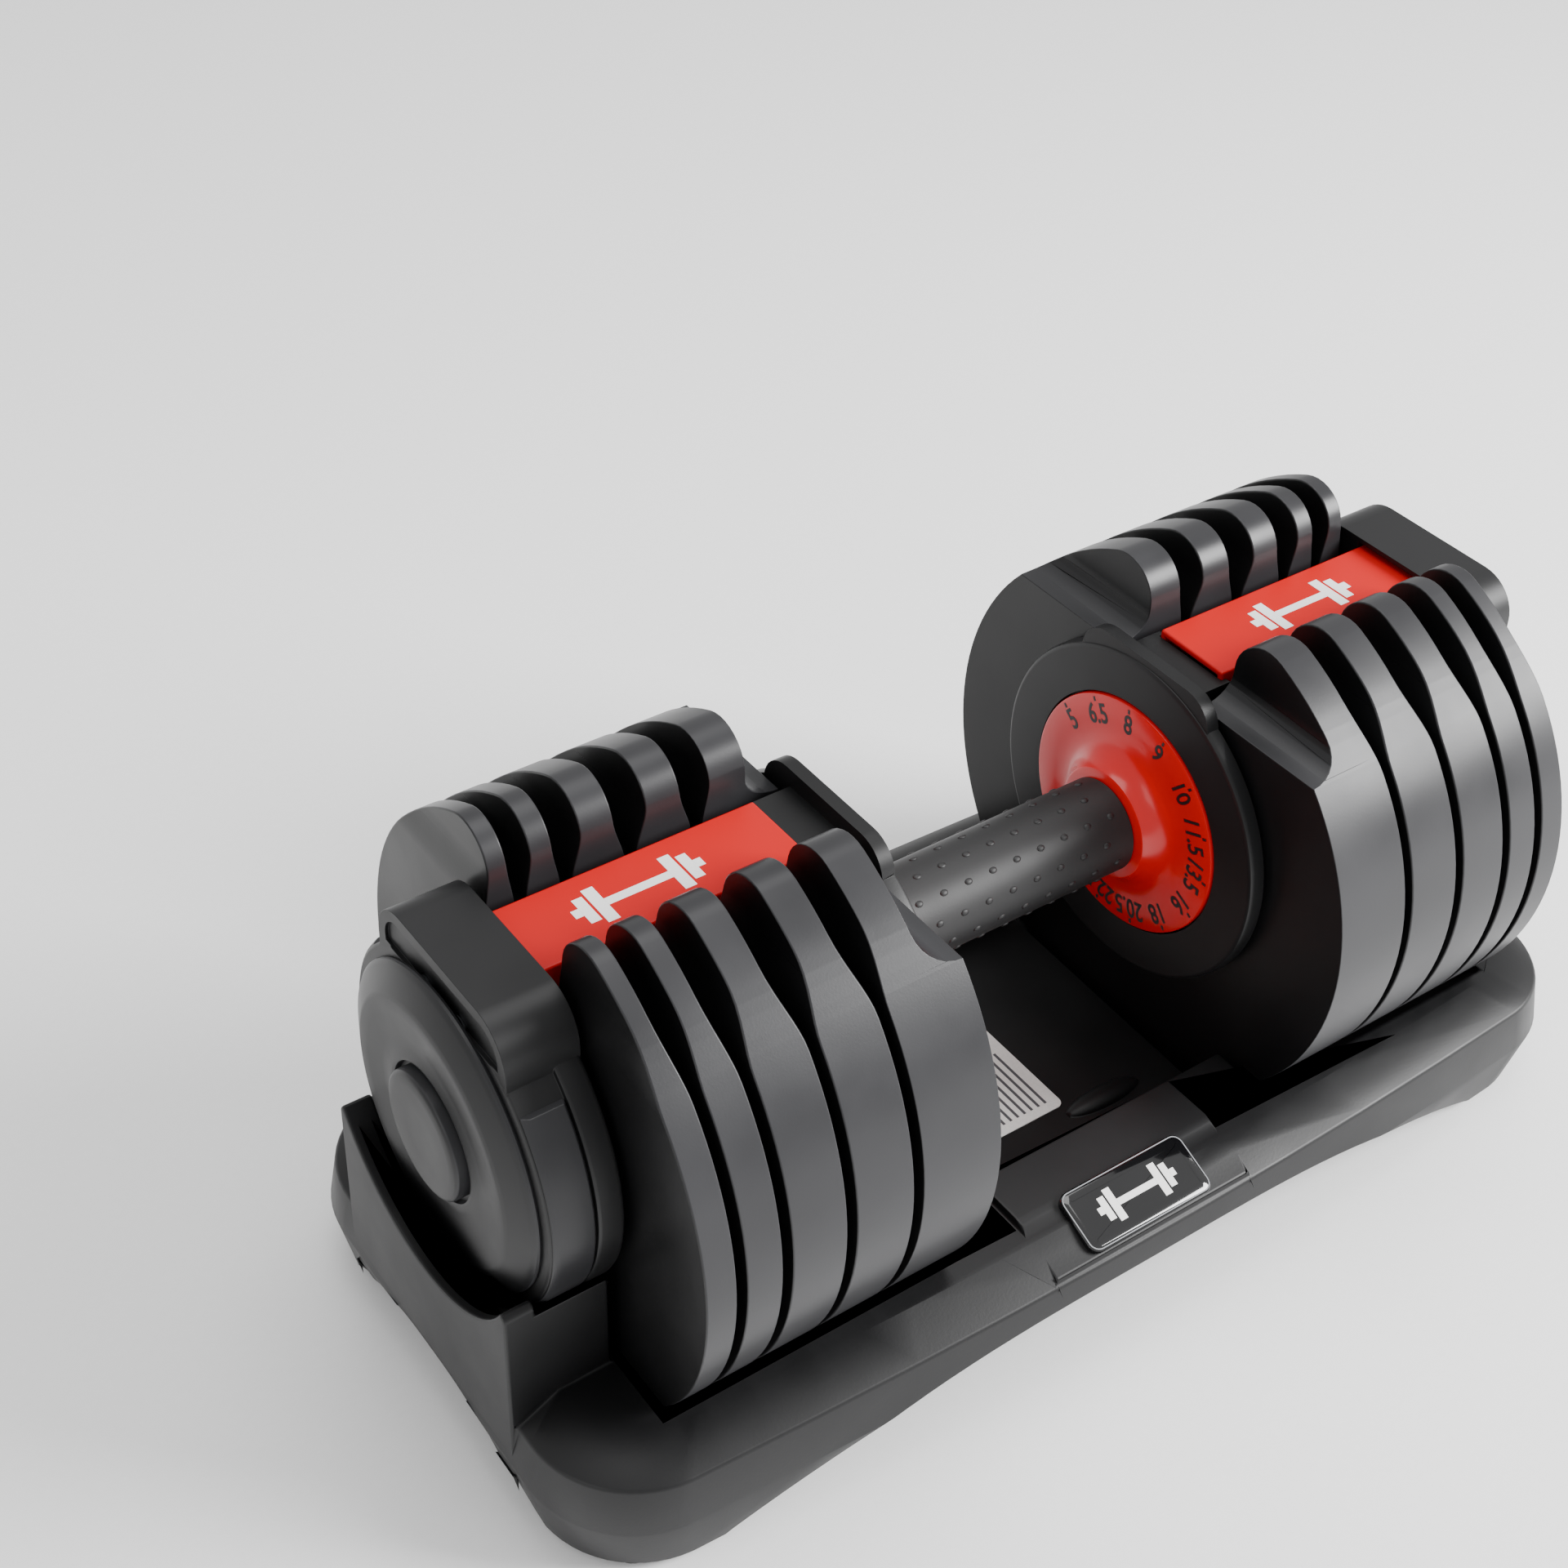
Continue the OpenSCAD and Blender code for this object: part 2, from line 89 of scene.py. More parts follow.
def draw(name, points):
    """Draws an outline one point after another and fills it; edit mode stays open."""
    only()
    bpy.ops.mesh.primitive_plane_add(size=MM)
    piece = bpy.context.object
    piece.name = piece.data.name = name
    bpy.ops.object.mode_set(mode="EDIT")
    bpy.ops.mesh.select_mode(type="VERT")
    bpy.ops.mesh.select_all(action="SELECT")
    bpy.ops.mesh.merge(type="CENTER")
    last = Vector((0.0, 0.0, 0.0))
    for k, point in enumerate([*points, points[0]]):
        step = Vector(point) * MM - last
        if k:
            bpy.ops.mesh.extrude_region_move(TRANSFORM_OT_translate={"value": step})
        else:
            bpy.ops.transform.translate(value=step)
        last += step
    bpy.ops.mesh.select_all(action="SELECT")
    bpy.ops.mesh.remove_doubles(threshold=0.02 * MM)
    bpy.ops.mesh.edge_face_add()
    return piece


def close_up(piece):
    """Merges doubles and turns all faces outwards."""
    only(piece)
    bpy.ops.object.mode_set(mode="EDIT")
    bpy.ops.mesh.select_all(action="SELECT")
    bpy.ops.mesh.remove_doubles(threshold=0.01 * MM)
    bpy.ops.mesh.normals_make_consistent(inside=False)
    bpy.ops.object.mode_set(mode="OBJECT")
    return piece


def extruded(name, along, start, end, outline):
    """Draws an outline across X, Y or Z at start and extrudes it to end."""
    place = {
        "X": lambda u, v: (start, u, v),
        "Y": lambda u, v: (u, start, v),
        "Z": lambda u, v: (u, v, start),
    }[along]
    step = Vector([(end - start) * MM if axis == along else 0.0 for axis in "XYZ"])
    piece = draw(name, [place(u, v) for u, v in outline])
    bpy.ops.mesh.extrude_region_move(TRANSFORM_OT_translate={"value": step})
    return close_up(piece)


def block(name, low, high):
    """Adds a box from corner to corner."""
    only()
    middle = [(a + b) / 2 * MM for a, b in zip(low, high)]
    sides = [(b - a) * MM for a, b in zip(low, high)]
    bpy.ops.mesh.primitive_cube_add(size=1.0, location=middle, scale=sides)
    piece = bpy.context.object
    piece.name = piece.data.name = name
    bpy.ops.object.transform_apply(location=True, rotation=True, scale=True)
    return piece


def drum(name, radius, start, end, y=0.0, z=AXIS, sides=96):
    """Adds a round bar along X."""
    only()
    bpy.ops.mesh.primitive_cylinder_add(
        vertices=sides, radius=radius * MM, depth=(end - start) * MM,
        location=((start + end) / 2 * MM, y * MM, z * MM), rotation=(0.0, math.pi / 2, 0.0),
    )
    piece = bpy.context.object
    piece.name = piece.data.name = name
    bpy.ops.object.transform_apply(location=True, rotation=True, scale=True)
    return piece


def finish_with(piece, kind, **settings):
    """Puts a modifier on a piece and applies it."""
    only(piece)
    modifier = piece.modifiers.new(kind.title(), kind)
    for key, value in settings.items():
        setattr(modifier, key, value)
    bpy.ops.object.modifier_apply(modifier=modifier.name)
    return piece


def join_with(piece, *others, how="UNION"):
    """Joins other solids to a piece, or cuts them out of it."""
    for other in others:
        finish_with(piece, "BOOLEAN", operation=how, solver="EXACT", object=other)
        bpy.data.objects.remove(other)
    return piece


def cut_out(piece, *others):
    return join_with(piece, *others, how="DIFFERENCE")


def soften(piece, width, segments=3, angle=40.0, clamp=True):
    """Rounds a piece's hard edges and shades it smooth between them."""
    finish_with(
        piece, "BEVEL", width=width * MM, segments=segments, limit_method="ANGLE",
        angle_limit=math.radians(angle), use_clamp_overlap=clamp, harden_normals=False,
    )
    only(piece)
    bpy.ops.object.shade_smooth_by_angle(angle=math.radians(35))
    return finish_with(piece, "WEIGHTED_NORMAL", keep_sharp=True)


def tray_plan(inset):
    """Outline of the tray from above: bowed long sides, straight ends, round corners."""
    length, width, corner = TRAY_LENGTH - 2 * inset, TRAY_WIDTH - 2 * inset, CORNER - inset
    bow = (length * length / 4 + BOW * BOW) / (2 * BOW)
    come_in = lambda x: bow - math.sqrt(bow * bow - x * x)
    cx = length / 2 - corner
    cy = width / 2 - come_in(cx) - corner
    round_end = []
    for start, s in ((-90, -1), (0, 1)):
        for k in range(16):
            a = math.radians(6 * k + start)
            round_end.append((cx + corner * math.cos(a), s * cy + corner * math.sin(a)))
    rear = [(cx * (1 - k / 9), width / 2 - come_in(cx * (1 - k / 9))) for k in range(1, 18)]
    half = round_end + rear
    return half + [(-x, -y) for x, y in half]


def tray_mass(name, inset):
    """The tray before it is hollowed, drawn smaller by inset."""
    low, brow, deck = LEG_FOOT - inset, BROW - inset, DECK - inset
    body = draw(name, [(x, y, low) for x, y in tray_plan(inset + TUCK)])
    bpy.ops.mesh.extrude_region_move(TRANSFORM_OT_translate={"value": (0, 0, (WIDEST - LEG_FOOT) * MM)})
    length, width = TRAY_LENGTH - 2 * (inset + TUCK), TRAY_WIDTH - 2 * (inset + TUCK)
    wide = (1 + 2 * TUCK_OUT / length, 1 + 2 * TUCK_OUT / width, 1.0)
    bpy.ops.transform.resize(value=wide, center_override=(0, 0, 0))
    length, width = length + 2 * TUCK_OUT, width + 2 * TUCK_OUT
    for top, rise, come_in in ((brow, brow - (WIDEST - inset), TUCK_IN), (deck, deck - brow, BAND)):
        bpy.ops.mesh.extrude_region_move(TRANSFORM_OT_translate={"value": (0, 0, rise * MM)})
        narrow = (1 - 2 * come_in / length, 1 - 2 * come_in / width, 1.0)
        bpy.ops.transform.resize(value=narrow, center_override=(0, 0, top * MM))
        length, width = length - 2 * come_in, width - 2 * come_in
    close_up(body)
    half, top, round_top = SADDLE_HALF - inset, SADDLE_TOP - inset, 3.0
    half_depth = SADDLE_DEPTH / 2 - inset
    for s in (-1, 1):
        saddle = extruded(
            name + "_saddle", "X", s * SADDLE_MIDDLE - half_depth, s * SADDLE_MIDDLE + half_depth,
            [(-half, 20.0), (half, 20.0),
             (half, top - round_top), (half - 0.9, top - 0.9), (half - round_top, top),
             (round_top - half, top), (0.9 - half, top - 0.9), (-half, top - round_top)],
        )
        join_with(body, saddle)
    front = -TRAY_WIDTH / 2 + 8 + inset
    side = 43.0 - inset
    pedestal = extruded(
        name + "_pedestal", "X", -side, side,
        [(front, 26.0), (front, BROW + 2 - inset), (-83.0, DECK + 1.8 - inset), (-80.0, DECK + 3 - inset),
         (-60.0, DECK + 3 - inset), (-60.0, 26.0)],
    )
    return join_with(body, pedestal)


def clear_space(piece, grow):
    """Cuts out the wells, the saddle arcs and the floor between the heads."""
    for s in (-1, 1):
        well = sorted((s * WELL_IN, s * WELL_OUT))
        end = sorted((s * 179.4, s * 209.4))
        cover = sorted((s * 134.4, s * 254.4))
        cut_out(
            piece,
            drum("well", WELL_RADIUS + grow, well[0] - grow, well[1] + grow, z=WELL_CENTRE, sides=120),
            drum("end_arc", END_ARC + grow, end[0] - grow, end[1] + grow),
            drum("cover_arc", COVER_ARC + grow, cover[0], cover[1]),
        )
    return cut_out(piece, block("hand_space", (-71, -58 - grow, FLOOR - grow), (71, 58 + grow, 140)))


tray = clear_space(tray_mass("tray_shell", 0.0), 0.0)
cut_out(tray, clear_space(tray_mass("tray_hollow", SHELL), SHELL))


def arch_plan(span, rise):
    """Outline of an arch that is steep at the legs and nearly flat in the middle."""
    side = [(span * (1 - k / 20), rise * (1 - (1 - k / 20) ** 3.0) - 1.0 * (k == 0)) for k in range(21)]
    return [(-span - 2, -2.0), (span + 2, -2.0), *side, *[(-x, z) for x, z in reversed(side[:-1])]]


for s in (-1, 1):
    cut_out(
        tray,
        extruded("long_arch", "Y", s * 135.0, s * 79.0, arch_plan(176.0, 34.0)),
        extruded("short_arch", "X", s * 242.0, s * 198.0, arch_plan(66.0, 27.0)),
    )

# Ribs between the plates and bosses for the feet grow out of the shell.
for s in (-1, 1):
    for gap in (103.3, 127.9, 151.0, 167.1):
        rib_bottom = [
            (66 * k / 12, WELL_CENTRE - math.sqrt(109.5 ** 2 - (66 * k / 12) ** 2)) for k in range(-12, 13)
        ]
        rib = extruded("rib", "X", s * gap - 1, s * gap + 1, [*rib_bottom, (66.0, 43.0), (-66.0, 43.0)])
        join_with(tray, rib)
    for t in (-1, 1):
        only()
        bpy.ops.mesh.primitive_cylinder_add(
            vertices=48, radius=10 * MM, depth=38.5 * MM,
            location=(s * FOOT_X * MM, t * FOOT_Y * MM, 22.25 * MM),
        )
        boss = bpy.context.object
        bpy.ops.object.transform_apply(location=True, rotation=True, scale=True)
        join_with(tray, boss)

# A low rounded ridge on the floor locates the handle end of the right head.
only()
bpy.ops.mesh.primitive_uv_sphere_add(
    segments=32, ring_count=16, radius=1.0, location=(36 * MM, -37 * MM, FLOOR * MM),
)
ridge = bpy.context.object
ridge.scale = (17 * MM, 5 * MM, 3.2 * MM)
bpy.ops.object.transform_apply(location=True, rotation=True, scale=True)
join_with(tray, ridge)
close_up(tray)
# Flat faces are merged, all but the deck, which runs as a ring round the openings.
only(tray)
bpy.ops.object.mode_set(mode="EDIT")
bpy.ops.mesh.select_mode(type="FACE")
bpy.ops.mesh.select_all(action="DESELECT")
bpy.ops.object.mode_set(mode="OBJECT")
for face in tray.data.polygons:
    face.select = abs(face.center.z - DECK * MM) > 0.1 * MM
bpy.ops.object.mode_set(mode="EDIT")
bpy.ops.mesh.dissolve_limited(angle_limit=math.radians(0.4))
bpy.ops.mesh.select_mode(type="VERT")
bpy.ops.object.mode_set(mode="OBJECT")
soften(tray, 1.1, segments=2, angle=33.0, clamp=False)
# Where two roundings cross, a corner can shoot out past the skirt; it is drawn back.
FURTHEST = TRAY_WIDTH / 2 - TUCK + TUCK_OUT - 0.8
for vertex in tray.data.vertices:
    vertex.co.y = min(FURTHEST * MM, max(-FURTHEST * MM, vertex.co.y))
    vertex.co.z = max(LEG_FOOT * MM, vertex.co.z)


def paint(code):
    """Turns an sRGB hex colour to linear."""
    parts = [int(code[k:k + 2], 16) / 255 for k in (1, 3, 5)]
    return (*[p / 12.92 if p <= 0.04045 else ((p + 0.055) / 1.055) ** 2.4 for p in parts], 1.0)


def add(tree, kind, values=None, links=None, **settings):
    """Adds a node with its settings, socket values and links from other nodes."""
    node = tree.nodes.new(kind)
    for key, value in settings.items():
        setattr(node, key, value)
    for key, value in (values or {}).items():
        node.inputs[key].default_value = value
    for key, output in (links or {}).items():
        tree.links.new(output, node.inputs[key])
    return node


def new_finish(name):
    """A fresh material with an empty tree and its output."""
    finish = bpy.data.materials.new(name)
    finish.use_nodes = True
    finish.node_tree.nodes.clear()
    return finish, finish.node_tree


def moulded_abs(name, body, painted_rim_highlight, roughness, grain, depth, facing="Z"):
    """Injection-moulded ABS: a fine spark-eroded grain, faint flow marks and a satin skin.

    Walls that face along the facing axis take the body colour and the others a
    lighter colour, painted on the rims as a highlight where the lamps catch them.
    The grain's width and depth are millimetres.
    """
    finish, tree = new_finish(name)
    place = add(tree, "ShaderNodeTexCoord")
    normal = add(tree, "ShaderNodeSeparateXYZ", links={0: place.outputs["Normal"]})
    size = add(tree, "ShaderNodeMath", links={0: normal.outputs[facing]}, operation="ABSOLUTE")
    # How far each wall turns from the facing axis; those walls are painted lighter as a highlight.
    side = add(
        tree, "ShaderNodeMapRange", {"From Min": 0.45, "From Max": 0.97}, {"Value": size.outputs[0]},
        interpolation_type="SMOOTHSTEP",
    )
    flow = add(
        tree, "ShaderNodeTexNoise", {"Scale": 28.0, "Detail": 3.0}, {"Vector": place.outputs["Object"]},
    )
    # Spark grain is about 0.2 mm; drawn at nearly 1 mm so that it still shows.
    spark = add(
        tree, "ShaderNodeTexNoise", {"Scale": 1 / (grain * MM), "Detail": 2.0, "Roughness": 0.6},
        {"Vector": place.outputs["Object"]},
    )
    # Mixes the body colour with the lighter colour painted on the rims as a highlight.
    colour = add(
        tree, "ShaderNodeMix", {6: paint(painted_rim_highlight), 7: paint(body)}, {0: side.outputs["Result"]},
        data_type="RGBA",
    )
    clouded = add(tree, "ShaderNodeHueSaturation", links={"Color": colour.outputs[2]})
    shade = add(
        tree, "ShaderNodeMapRange", {"From Min": 0.3, "From Max": 0.7, "To Min": 0.88, "To Max": 1.14},
        {"Value": flow.outputs[0]},
    )
    tree.links.new(shade.outputs["Result"], clouded.inputs["Value"])
    polish = add(
        tree, "ShaderNodeMapRange",
        {"From Min": 0.3, "From Max": 0.7, "To Min": roughness - 0.04, "To Max": roughness + 0.05},
        {"Value": flow.outputs[0]},
    )
    bump = add(
        tree, "ShaderNodeBump", {"Strength": 0.35, "Distance": depth * MM}, {"Height": spark.outputs[0]},
    )
    skin = add(
        tree, "ShaderNodeBsdfPrincipled", {"IOR": 1.54, "Specular IOR Level": 0.28},
        {
            "Base Color": clouded.outputs[0],
            "Roughness": polish.outputs["Result"],
            "Normal": bump.outputs[0],
        },
    )
    add(tree, "ShaderNodeOutputMaterial", links={"Surface": skin.outputs[0]})
    return finish


def coat(piece, finish):
    piece.data.materials.clear()
    piece.data.materials.append(finish)
    return piece


def place_on(piece, body, slot, *stands_for):
    """Says which body a finished piece rides on and hides the CAD nodes it stands for; the slot is not
    used.
    """
    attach(piece, body)
    if stands_for:
        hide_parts(*stands_for)
    return piece


# Walls that do not face up get a barely lighter colour, a painted highlight.
tray_black = moulded_abs("abs_moulded_tray", "#121213", "#131314", 0.42, grain=1.1, depth=0.06)
coat(tray, tray_black)
place_on(tray, "tray_base", "tray_shell", "tray")

# ---- feet ----
# Four moulded rubber pads glued under the legs; matt, slightly grey, and
# speckled where dust sits in the rubber.
foot_rubber, tree = new_finish("rubber_moulded_feet")
place = add(tree, "ShaderNodeTexCoord")
dust = add(tree, "ShaderNodeTexNoise", {"Scale": 420.0, "Detail": 4.0}, {"Vector": place.outputs["Object"]})
tint = add(
    tree, "ShaderNodeMix", {6: paint("#1e1e1f"), 7: paint("#333334")}, {0: dust.outputs[0]},
    data_type="RGBA",
)
rise = add(tree, "ShaderNodeBump", {"Strength": 0.4, "Distance": 0.1 * MM}, {"Height": dust.outputs[0]})
skin = add(
    tree, "ShaderNodeBsdfPrincipled", {"Roughness": 0.8, "IOR": 1.52},
    {"Base Color": tint.outputs[2], "Normal": rise.outputs[0]},
)
add(tree, "ShaderNodeOutputMaterial", links={"Surface": skin.outputs[0]})
coat(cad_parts["tray_feet"], foot_rubber)

# ---- badge ----
# A domed resin badge bonded in a pocket on the slope of the tray, gloss black
# with a thin pale border and a plain white sign of a dumbbell.
BADGE_Y, BADGE_Z, BADGE_TILT = -91.5, 50.6, math.radians(21.6)


def on_slope(piece):
    """Lays a piece drawn flat round the origin on the badge's slope."""
    only(piece)
    piece.rotation_euler = (BADGE_TILT, 0.0, 0.0)
    piece.location = (0.0, BADGE_Y * MM, BADGE_Z * MM)
    bpy.ops.object.transform_apply(location=True, rotation=True, scale=True)
    return piece


def rounded(width, depth, corner, steps=6):
    """Outline of a rectangle with rounded corners round the origin."""
    points = []
    for k, (sx, sy) in enumerate(((1, -1), (1, 1), (-1, 1), (-1, -1))):
        for j in range(steps + 1):
            a = math.radians(-90 + 90 * k + 90 * j / steps)
            points.append((
                sx * (width / 2 - corner) + corner * math.cos(a),
                sy * (depth / 2 - corner) + corner * math.sin(a),
            ))
    return points


badge = draw("badge", [(x, y, -2.0) for x, y in rounded(54, 23, 4)])
bpy.ops.mesh.extrude_region_move(TRANSFORM_OT_translate={"value": (0, 0, 3.9 * MM)})
for inset, rise_by in ((0.5, 0.4), (1.2, 0.4), (2.4, 0.2)):
    bpy.ops.mesh.inset(thickness=inset * MM, depth=rise_by * MM)
close_up(badge)
only(badge)
bpy.ops.object.shade_smooth_by_angle(angle=math.radians(50))
on_slope(badge)

badge_resin, tree = new_finish("resin_domed_badge")
place = add(tree, "ShaderNodeTexCoord")
swirl = add(tree, "ShaderNodeTexNoise", {"Scale": 60.0, "Detail": 1.0}, {"Vector": place.outputs["Object"]})
depth_tint = add(
    tree, "ShaderNodeMix", {6: paint("#060607"), 7: paint("#0e0e10")}, {0: swirl.outputs[0]},
    data_type="RGBA",
)
wave = add(tree, "ShaderNodeBump", {"Strength": 0.1, "Distance": 0.1 * MM}, {"Height": swirl.outputs[0]})
skin = add(
    tree, "ShaderNodeBsdfPrincipled",
    {"Roughness": 0.08, "IOR": 1.55, "Coat Weight": 0.6, "Coat Roughness": 0.03},
    {"Base Color": depth_tint.outputs[2], "Normal": wave.outputs[0]},
)
add(tree, "ShaderNodeOutputMaterial", links={"Surface": skin.outputs[0]})
coat(badge, badge_resin)
place_on(badge, "tray_base", "badge_gloss", "tray_badge")


def printed(name, code, roughness=0.45):
    """Screen-printed ink: an even colour with the slight mottle of the mesh it was pressed through."""
    finish, tree = new_finish(name)
    place = add(tree, "ShaderNodeTexCoord")
    # The screen's threads are 0.1 mm apart; drawn at 0.5 mm so that the mottle shows.
    mottle = add(
        tree, "ShaderNodeTexNoise", {"Scale": 2000.0, "Detail": 2.0}, {"Vector": place.outputs["Object"]},
    )
    tone = add(
        tree, "ShaderNodeMapRange", {"To Min": 0.93, "To Max": 1.04}, {"Value": mottle.outputs[0]},
    )
    ink = add(tree, "ShaderNodeHueSaturation", {"Color": paint(code)}, {"Value": tone.outputs["Result"]})
    film = add(
        tree, "ShaderNodeBsdfPrincipled", {"Roughness": roughness, "IOR": 1.5},
        {"Base Color": ink.outputs[0]},
    )
    add(tree, "ShaderNodeOutputMaterial", links={"Surface": film.outputs[0]})
    return finish


white_ink = printed("ink_white_printed", "#f2f2f0")
silver_ink = printed("ink_silver_border", "#8f9194", 0.3)

border = draw("badge_border", [(x, y, 2.2) for x, y in rounded(53.0, 22.0, 3.6)])
bpy.ops.mesh.inset(thickness=0.35 * MM)
bpy.ops.mesh.delete(type="FACE")
bpy.ops.mesh.select_all(action="SELECT")
bpy.ops.mesh.extrude_region_move(TRANSFORM_OT_translate={"value": (0, 0, 0.32 * MM)})
close_up(border)
on_slope(border)
coat(border, silver_ink)
place_on(border, "tray_base", "badge_gloss")


def dumbbell_sign(name, width, thickness):
    """A flat generic sign of a dumbbell: a bar with two discs at each end."""
    h = width / 2
    # Start, end and half height of each part: the bar, then both discs and the stub of each end.
    bars = [
        (-h * 0.5, h * 0.5, h * 0.07),
        (h * 0.5, h * 0.68, h * 0.36), (h * 0.72, h * 0.88, h * 0.26), (h * 0.88, h, h * 0.08),
        (-h * 0.68, -h * 0.5, h * 0.36), (-h * 0.88, -h * 0.72, h * 0.26), (-h, -h * 0.88, h * 0.08),
    ]
    parts = []
    for x0, x1, half in bars:
        part = block(name, (x0, -half, 0), (x1, half, thickness))
        finish_with(part, "BEVEL", width=min(x1 - x0, 2 * half) * 0.22 * MM, segments=3, affect="EDGES")
        parts.append(part)
    only(*parts)
    bpy.ops.object.join()
    sign = bpy.context.object
    sign.name = sign.data.name = name
    return close_up(sign)


sign = dumbbell_sign("badge_sign", 34.0, 0.16)
only(sign)
sign.location = (0.0, 0.0, 2.92 * MM)
bpy.ops.object.transform_apply(location=True, rotation=True, scale=True)
on_slope(sign)
coat(sign, white_ink)
place_on(sign, "tray_base", "badge_gloss")

# ---- care label ----
# A coated paper sticker on the tray floor: white, an orange band along one
# end and plain grey bars in place of any words.
LABEL_TOP = FLOOR + 0.35
label = draw("care_label", [(x - 5, y + 5, FLOOR + 0.05) for x, y in rounded(54, 74, 3)])
bpy.ops.mesh.extrude_region_move(TRANSFORM_OT_translate={"value": (0, 0, 0.3 * MM)})
close_up(label)
paper, tree = new_finish("paper_coated_label")
place = add(tree, "ShaderNodeTexCoord")
fibre = add(
    tree, "ShaderNodeTexNoise", {"Scale": 900.0, "Detail": 5.0}, {"Vector": place.outputs["Object"]},
)
sheet_tint = add(
    tree, "ShaderNodeMix", {6: paint("#e6e6e2"), 7: paint("#fbfbf8")}, {0: fibre.outputs[0]},
    data_type="RGBA",
)
tooth = add(tree, "ShaderNodeBump", {"Strength": 0.15, "Distance": 0.05 * MM}, {"Height": fibre.outputs[0]})
skin = add(
    tree, "ShaderNodeBsdfPrincipled", {"Roughness": 0.5, "IOR": 1.5},
    {"Base Color": sheet_tint.outputs[2], "Normal": tooth.outputs[0]},
)
add(tree, "ShaderNodeOutputMaterial", links={"Surface": skin.outputs[0]})
coat(label, paper)
place_on(label, "tray_base", "paper_label", "tray_label")
orange_ink = printed("ink_orange_band", "#ff4a1a")
grey_ink = printed("ink_grey_bars", "#55565a")
band = block("label_band", (-31.2, -31, LABEL_TOP), (-20.0, 41, LABEL_TOP + 0.06))
coat(band, orange_ink)
place_on(band, "tray_base", "paper_label")
bars = []
BAR_PITCH, BAR_START, BAR_FOOT = 3.2, -16, -28
for k, length in enumerate((60, 52, 64, 57, 48, 62, 55, 64, 40, 58, 30)):
    x = BAR_START + BAR_PITCH * k
    low, high = (x, BAR_FOOT, LABEL_TOP), (x + 1.1, BAR_FOOT + length, LABEL_TOP + 0.05)
    bars.append(block("bar", low, high))
only(*bars)
bpy.ops.object.join()
bars = bpy.context.object
bars.name = bars.data.name = "label_bars"
coat(bars, grey_ink)
place_on(bars, "tray_base", "paper_label")

# ---- fixed bar ----
# A turned steel axle runs from end to end, held by a brass bush and a zinc
# plated nut in each end frame; only its ends could ever be seen.


def machined(name, code, roughness, lines):
    """Turned or drawn metal: fine rings round the bar that stretch the highlights."""
    finish, tree = new_finish(name)
    place = add(tree, "ShaderNodeTexCoord")
    across = add(
        tree, "ShaderNodeMapping", {"Scale": (lines, 20.0, 20.0)}, {"Vector": place.outputs["Object"]},
    )
    rings = add(tree, "ShaderNodeTexNoise", {"Scale": 1.0, "Detail": 3.0}, {"Vector": across.outputs[0]})
    tone = add(tree, "ShaderNodeMapRange", {"To Min": 0.85, "To Max": 1.1}, {"Value": rings.outputs[0]})
    metal = add(tree, "ShaderNodeHueSaturation", {"Color": paint(code)}, {"Value": tone.outputs["Result"]})
    rough = add(
        tree, "ShaderNodeMapRange", {"To Min": roughness - 0.08, "To Max": roughness + 0.1},
        {"Value": rings.outputs[0]},
    )
    cut = add(
        tree, "ShaderNodeBump", {"Strength": 0.2, "Distance": 0.03 * MM}, {"Height": rings.outputs[0]},
    )
    skin = add(
        tree, "ShaderNodeBsdfPrincipled", {"Metallic": 1.0},
        {"Base Color": metal.outputs[0], "Roughness": rough.outputs["Result"], "Normal": cut.outputs[0]},
    )
    add(tree, "ShaderNodeOutputMaterial", links={"Surface": skin.outputs[0]})
    return finish


coat(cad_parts["axle"], machined("steel_turned_axle", "#a9abad", 0.3, 3000.0))
coat(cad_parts["axle_nuts"], machined("steel_zinc_plated_nuts", "#9ea3a6", 0.38, 900.0))
coat(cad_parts["axle_bushes"], machined("brass_machined_bushes", "#b48a4c", 0.32, 2000.0))

# ---- inner housings ----
# A moulded disc behind each dial with a square shoulder and a neck that reaches
# through the plates' slot to the red channel. Fine satin black ABS.


def both_sides(piece, name):
    """Names the right-hand piece and makes the left-hand one as its mirror image."""
    piece.name = piece.data.name = name + "_right"
    only(piece)
    bpy.ops.object.duplicate()
    other = bpy.context.object
    other.scale = (-1.0, 1.0, 1.0)
    bpy.ops.object.transform_apply(location=True, rotation=True, scale=True)
    other.name = other.data.name = name + "_left"
    only(other)
    bpy.ops.object.mode_set(mode="EDIT")
    bpy.ops.mesh.select_all(action="SELECT")
    bpy.ops.mesh.normals_make_consistent(inside=False)
    bpy.ops.object.mode_set(mode="OBJECT")
    bpy.ops.object.shade_smooth_by_angle(angle=math.radians(35))
    finish_with(other, "WEIGHTED_NORMAL", keep_sharp=True)
    return {"right": piece, "left": other}


def turned(name, profile, steps=96):
    """Spins a profile of (x, radius) points round the handle axis."""
    piece = draw(name, [(x, 0.0, AXIS + r) for x, r in profile])
    bpy.ops.mesh.select_all(action="SELECT")
    bpy.ops.mesh.delete(type="ONLY_FACE")
    bpy.ops.mesh.select_all(action="SELECT")
    bpy.ops.mesh.spin(steps=steps, angle=2 * math.pi, center=(0, 0, AXIS * MM), axis=(1, 0, 0))
    return close_up(piece)


def shouldered(half, low, top, corner, steps=8):
    """Outline, seen along X, of a block with two rounded upper corners."""
    points = [(-half, low), (half, low)]
    for sy, start in ((1, 0), (-1, 90)):
        for k in range(steps + 1):
            a = math.radians(start + 90 * k / steps)
            points.append((
                sy * (half - corner) + corner * math.cos(a),
                top - corner + corner * math.sin(a),
            ))
    return points


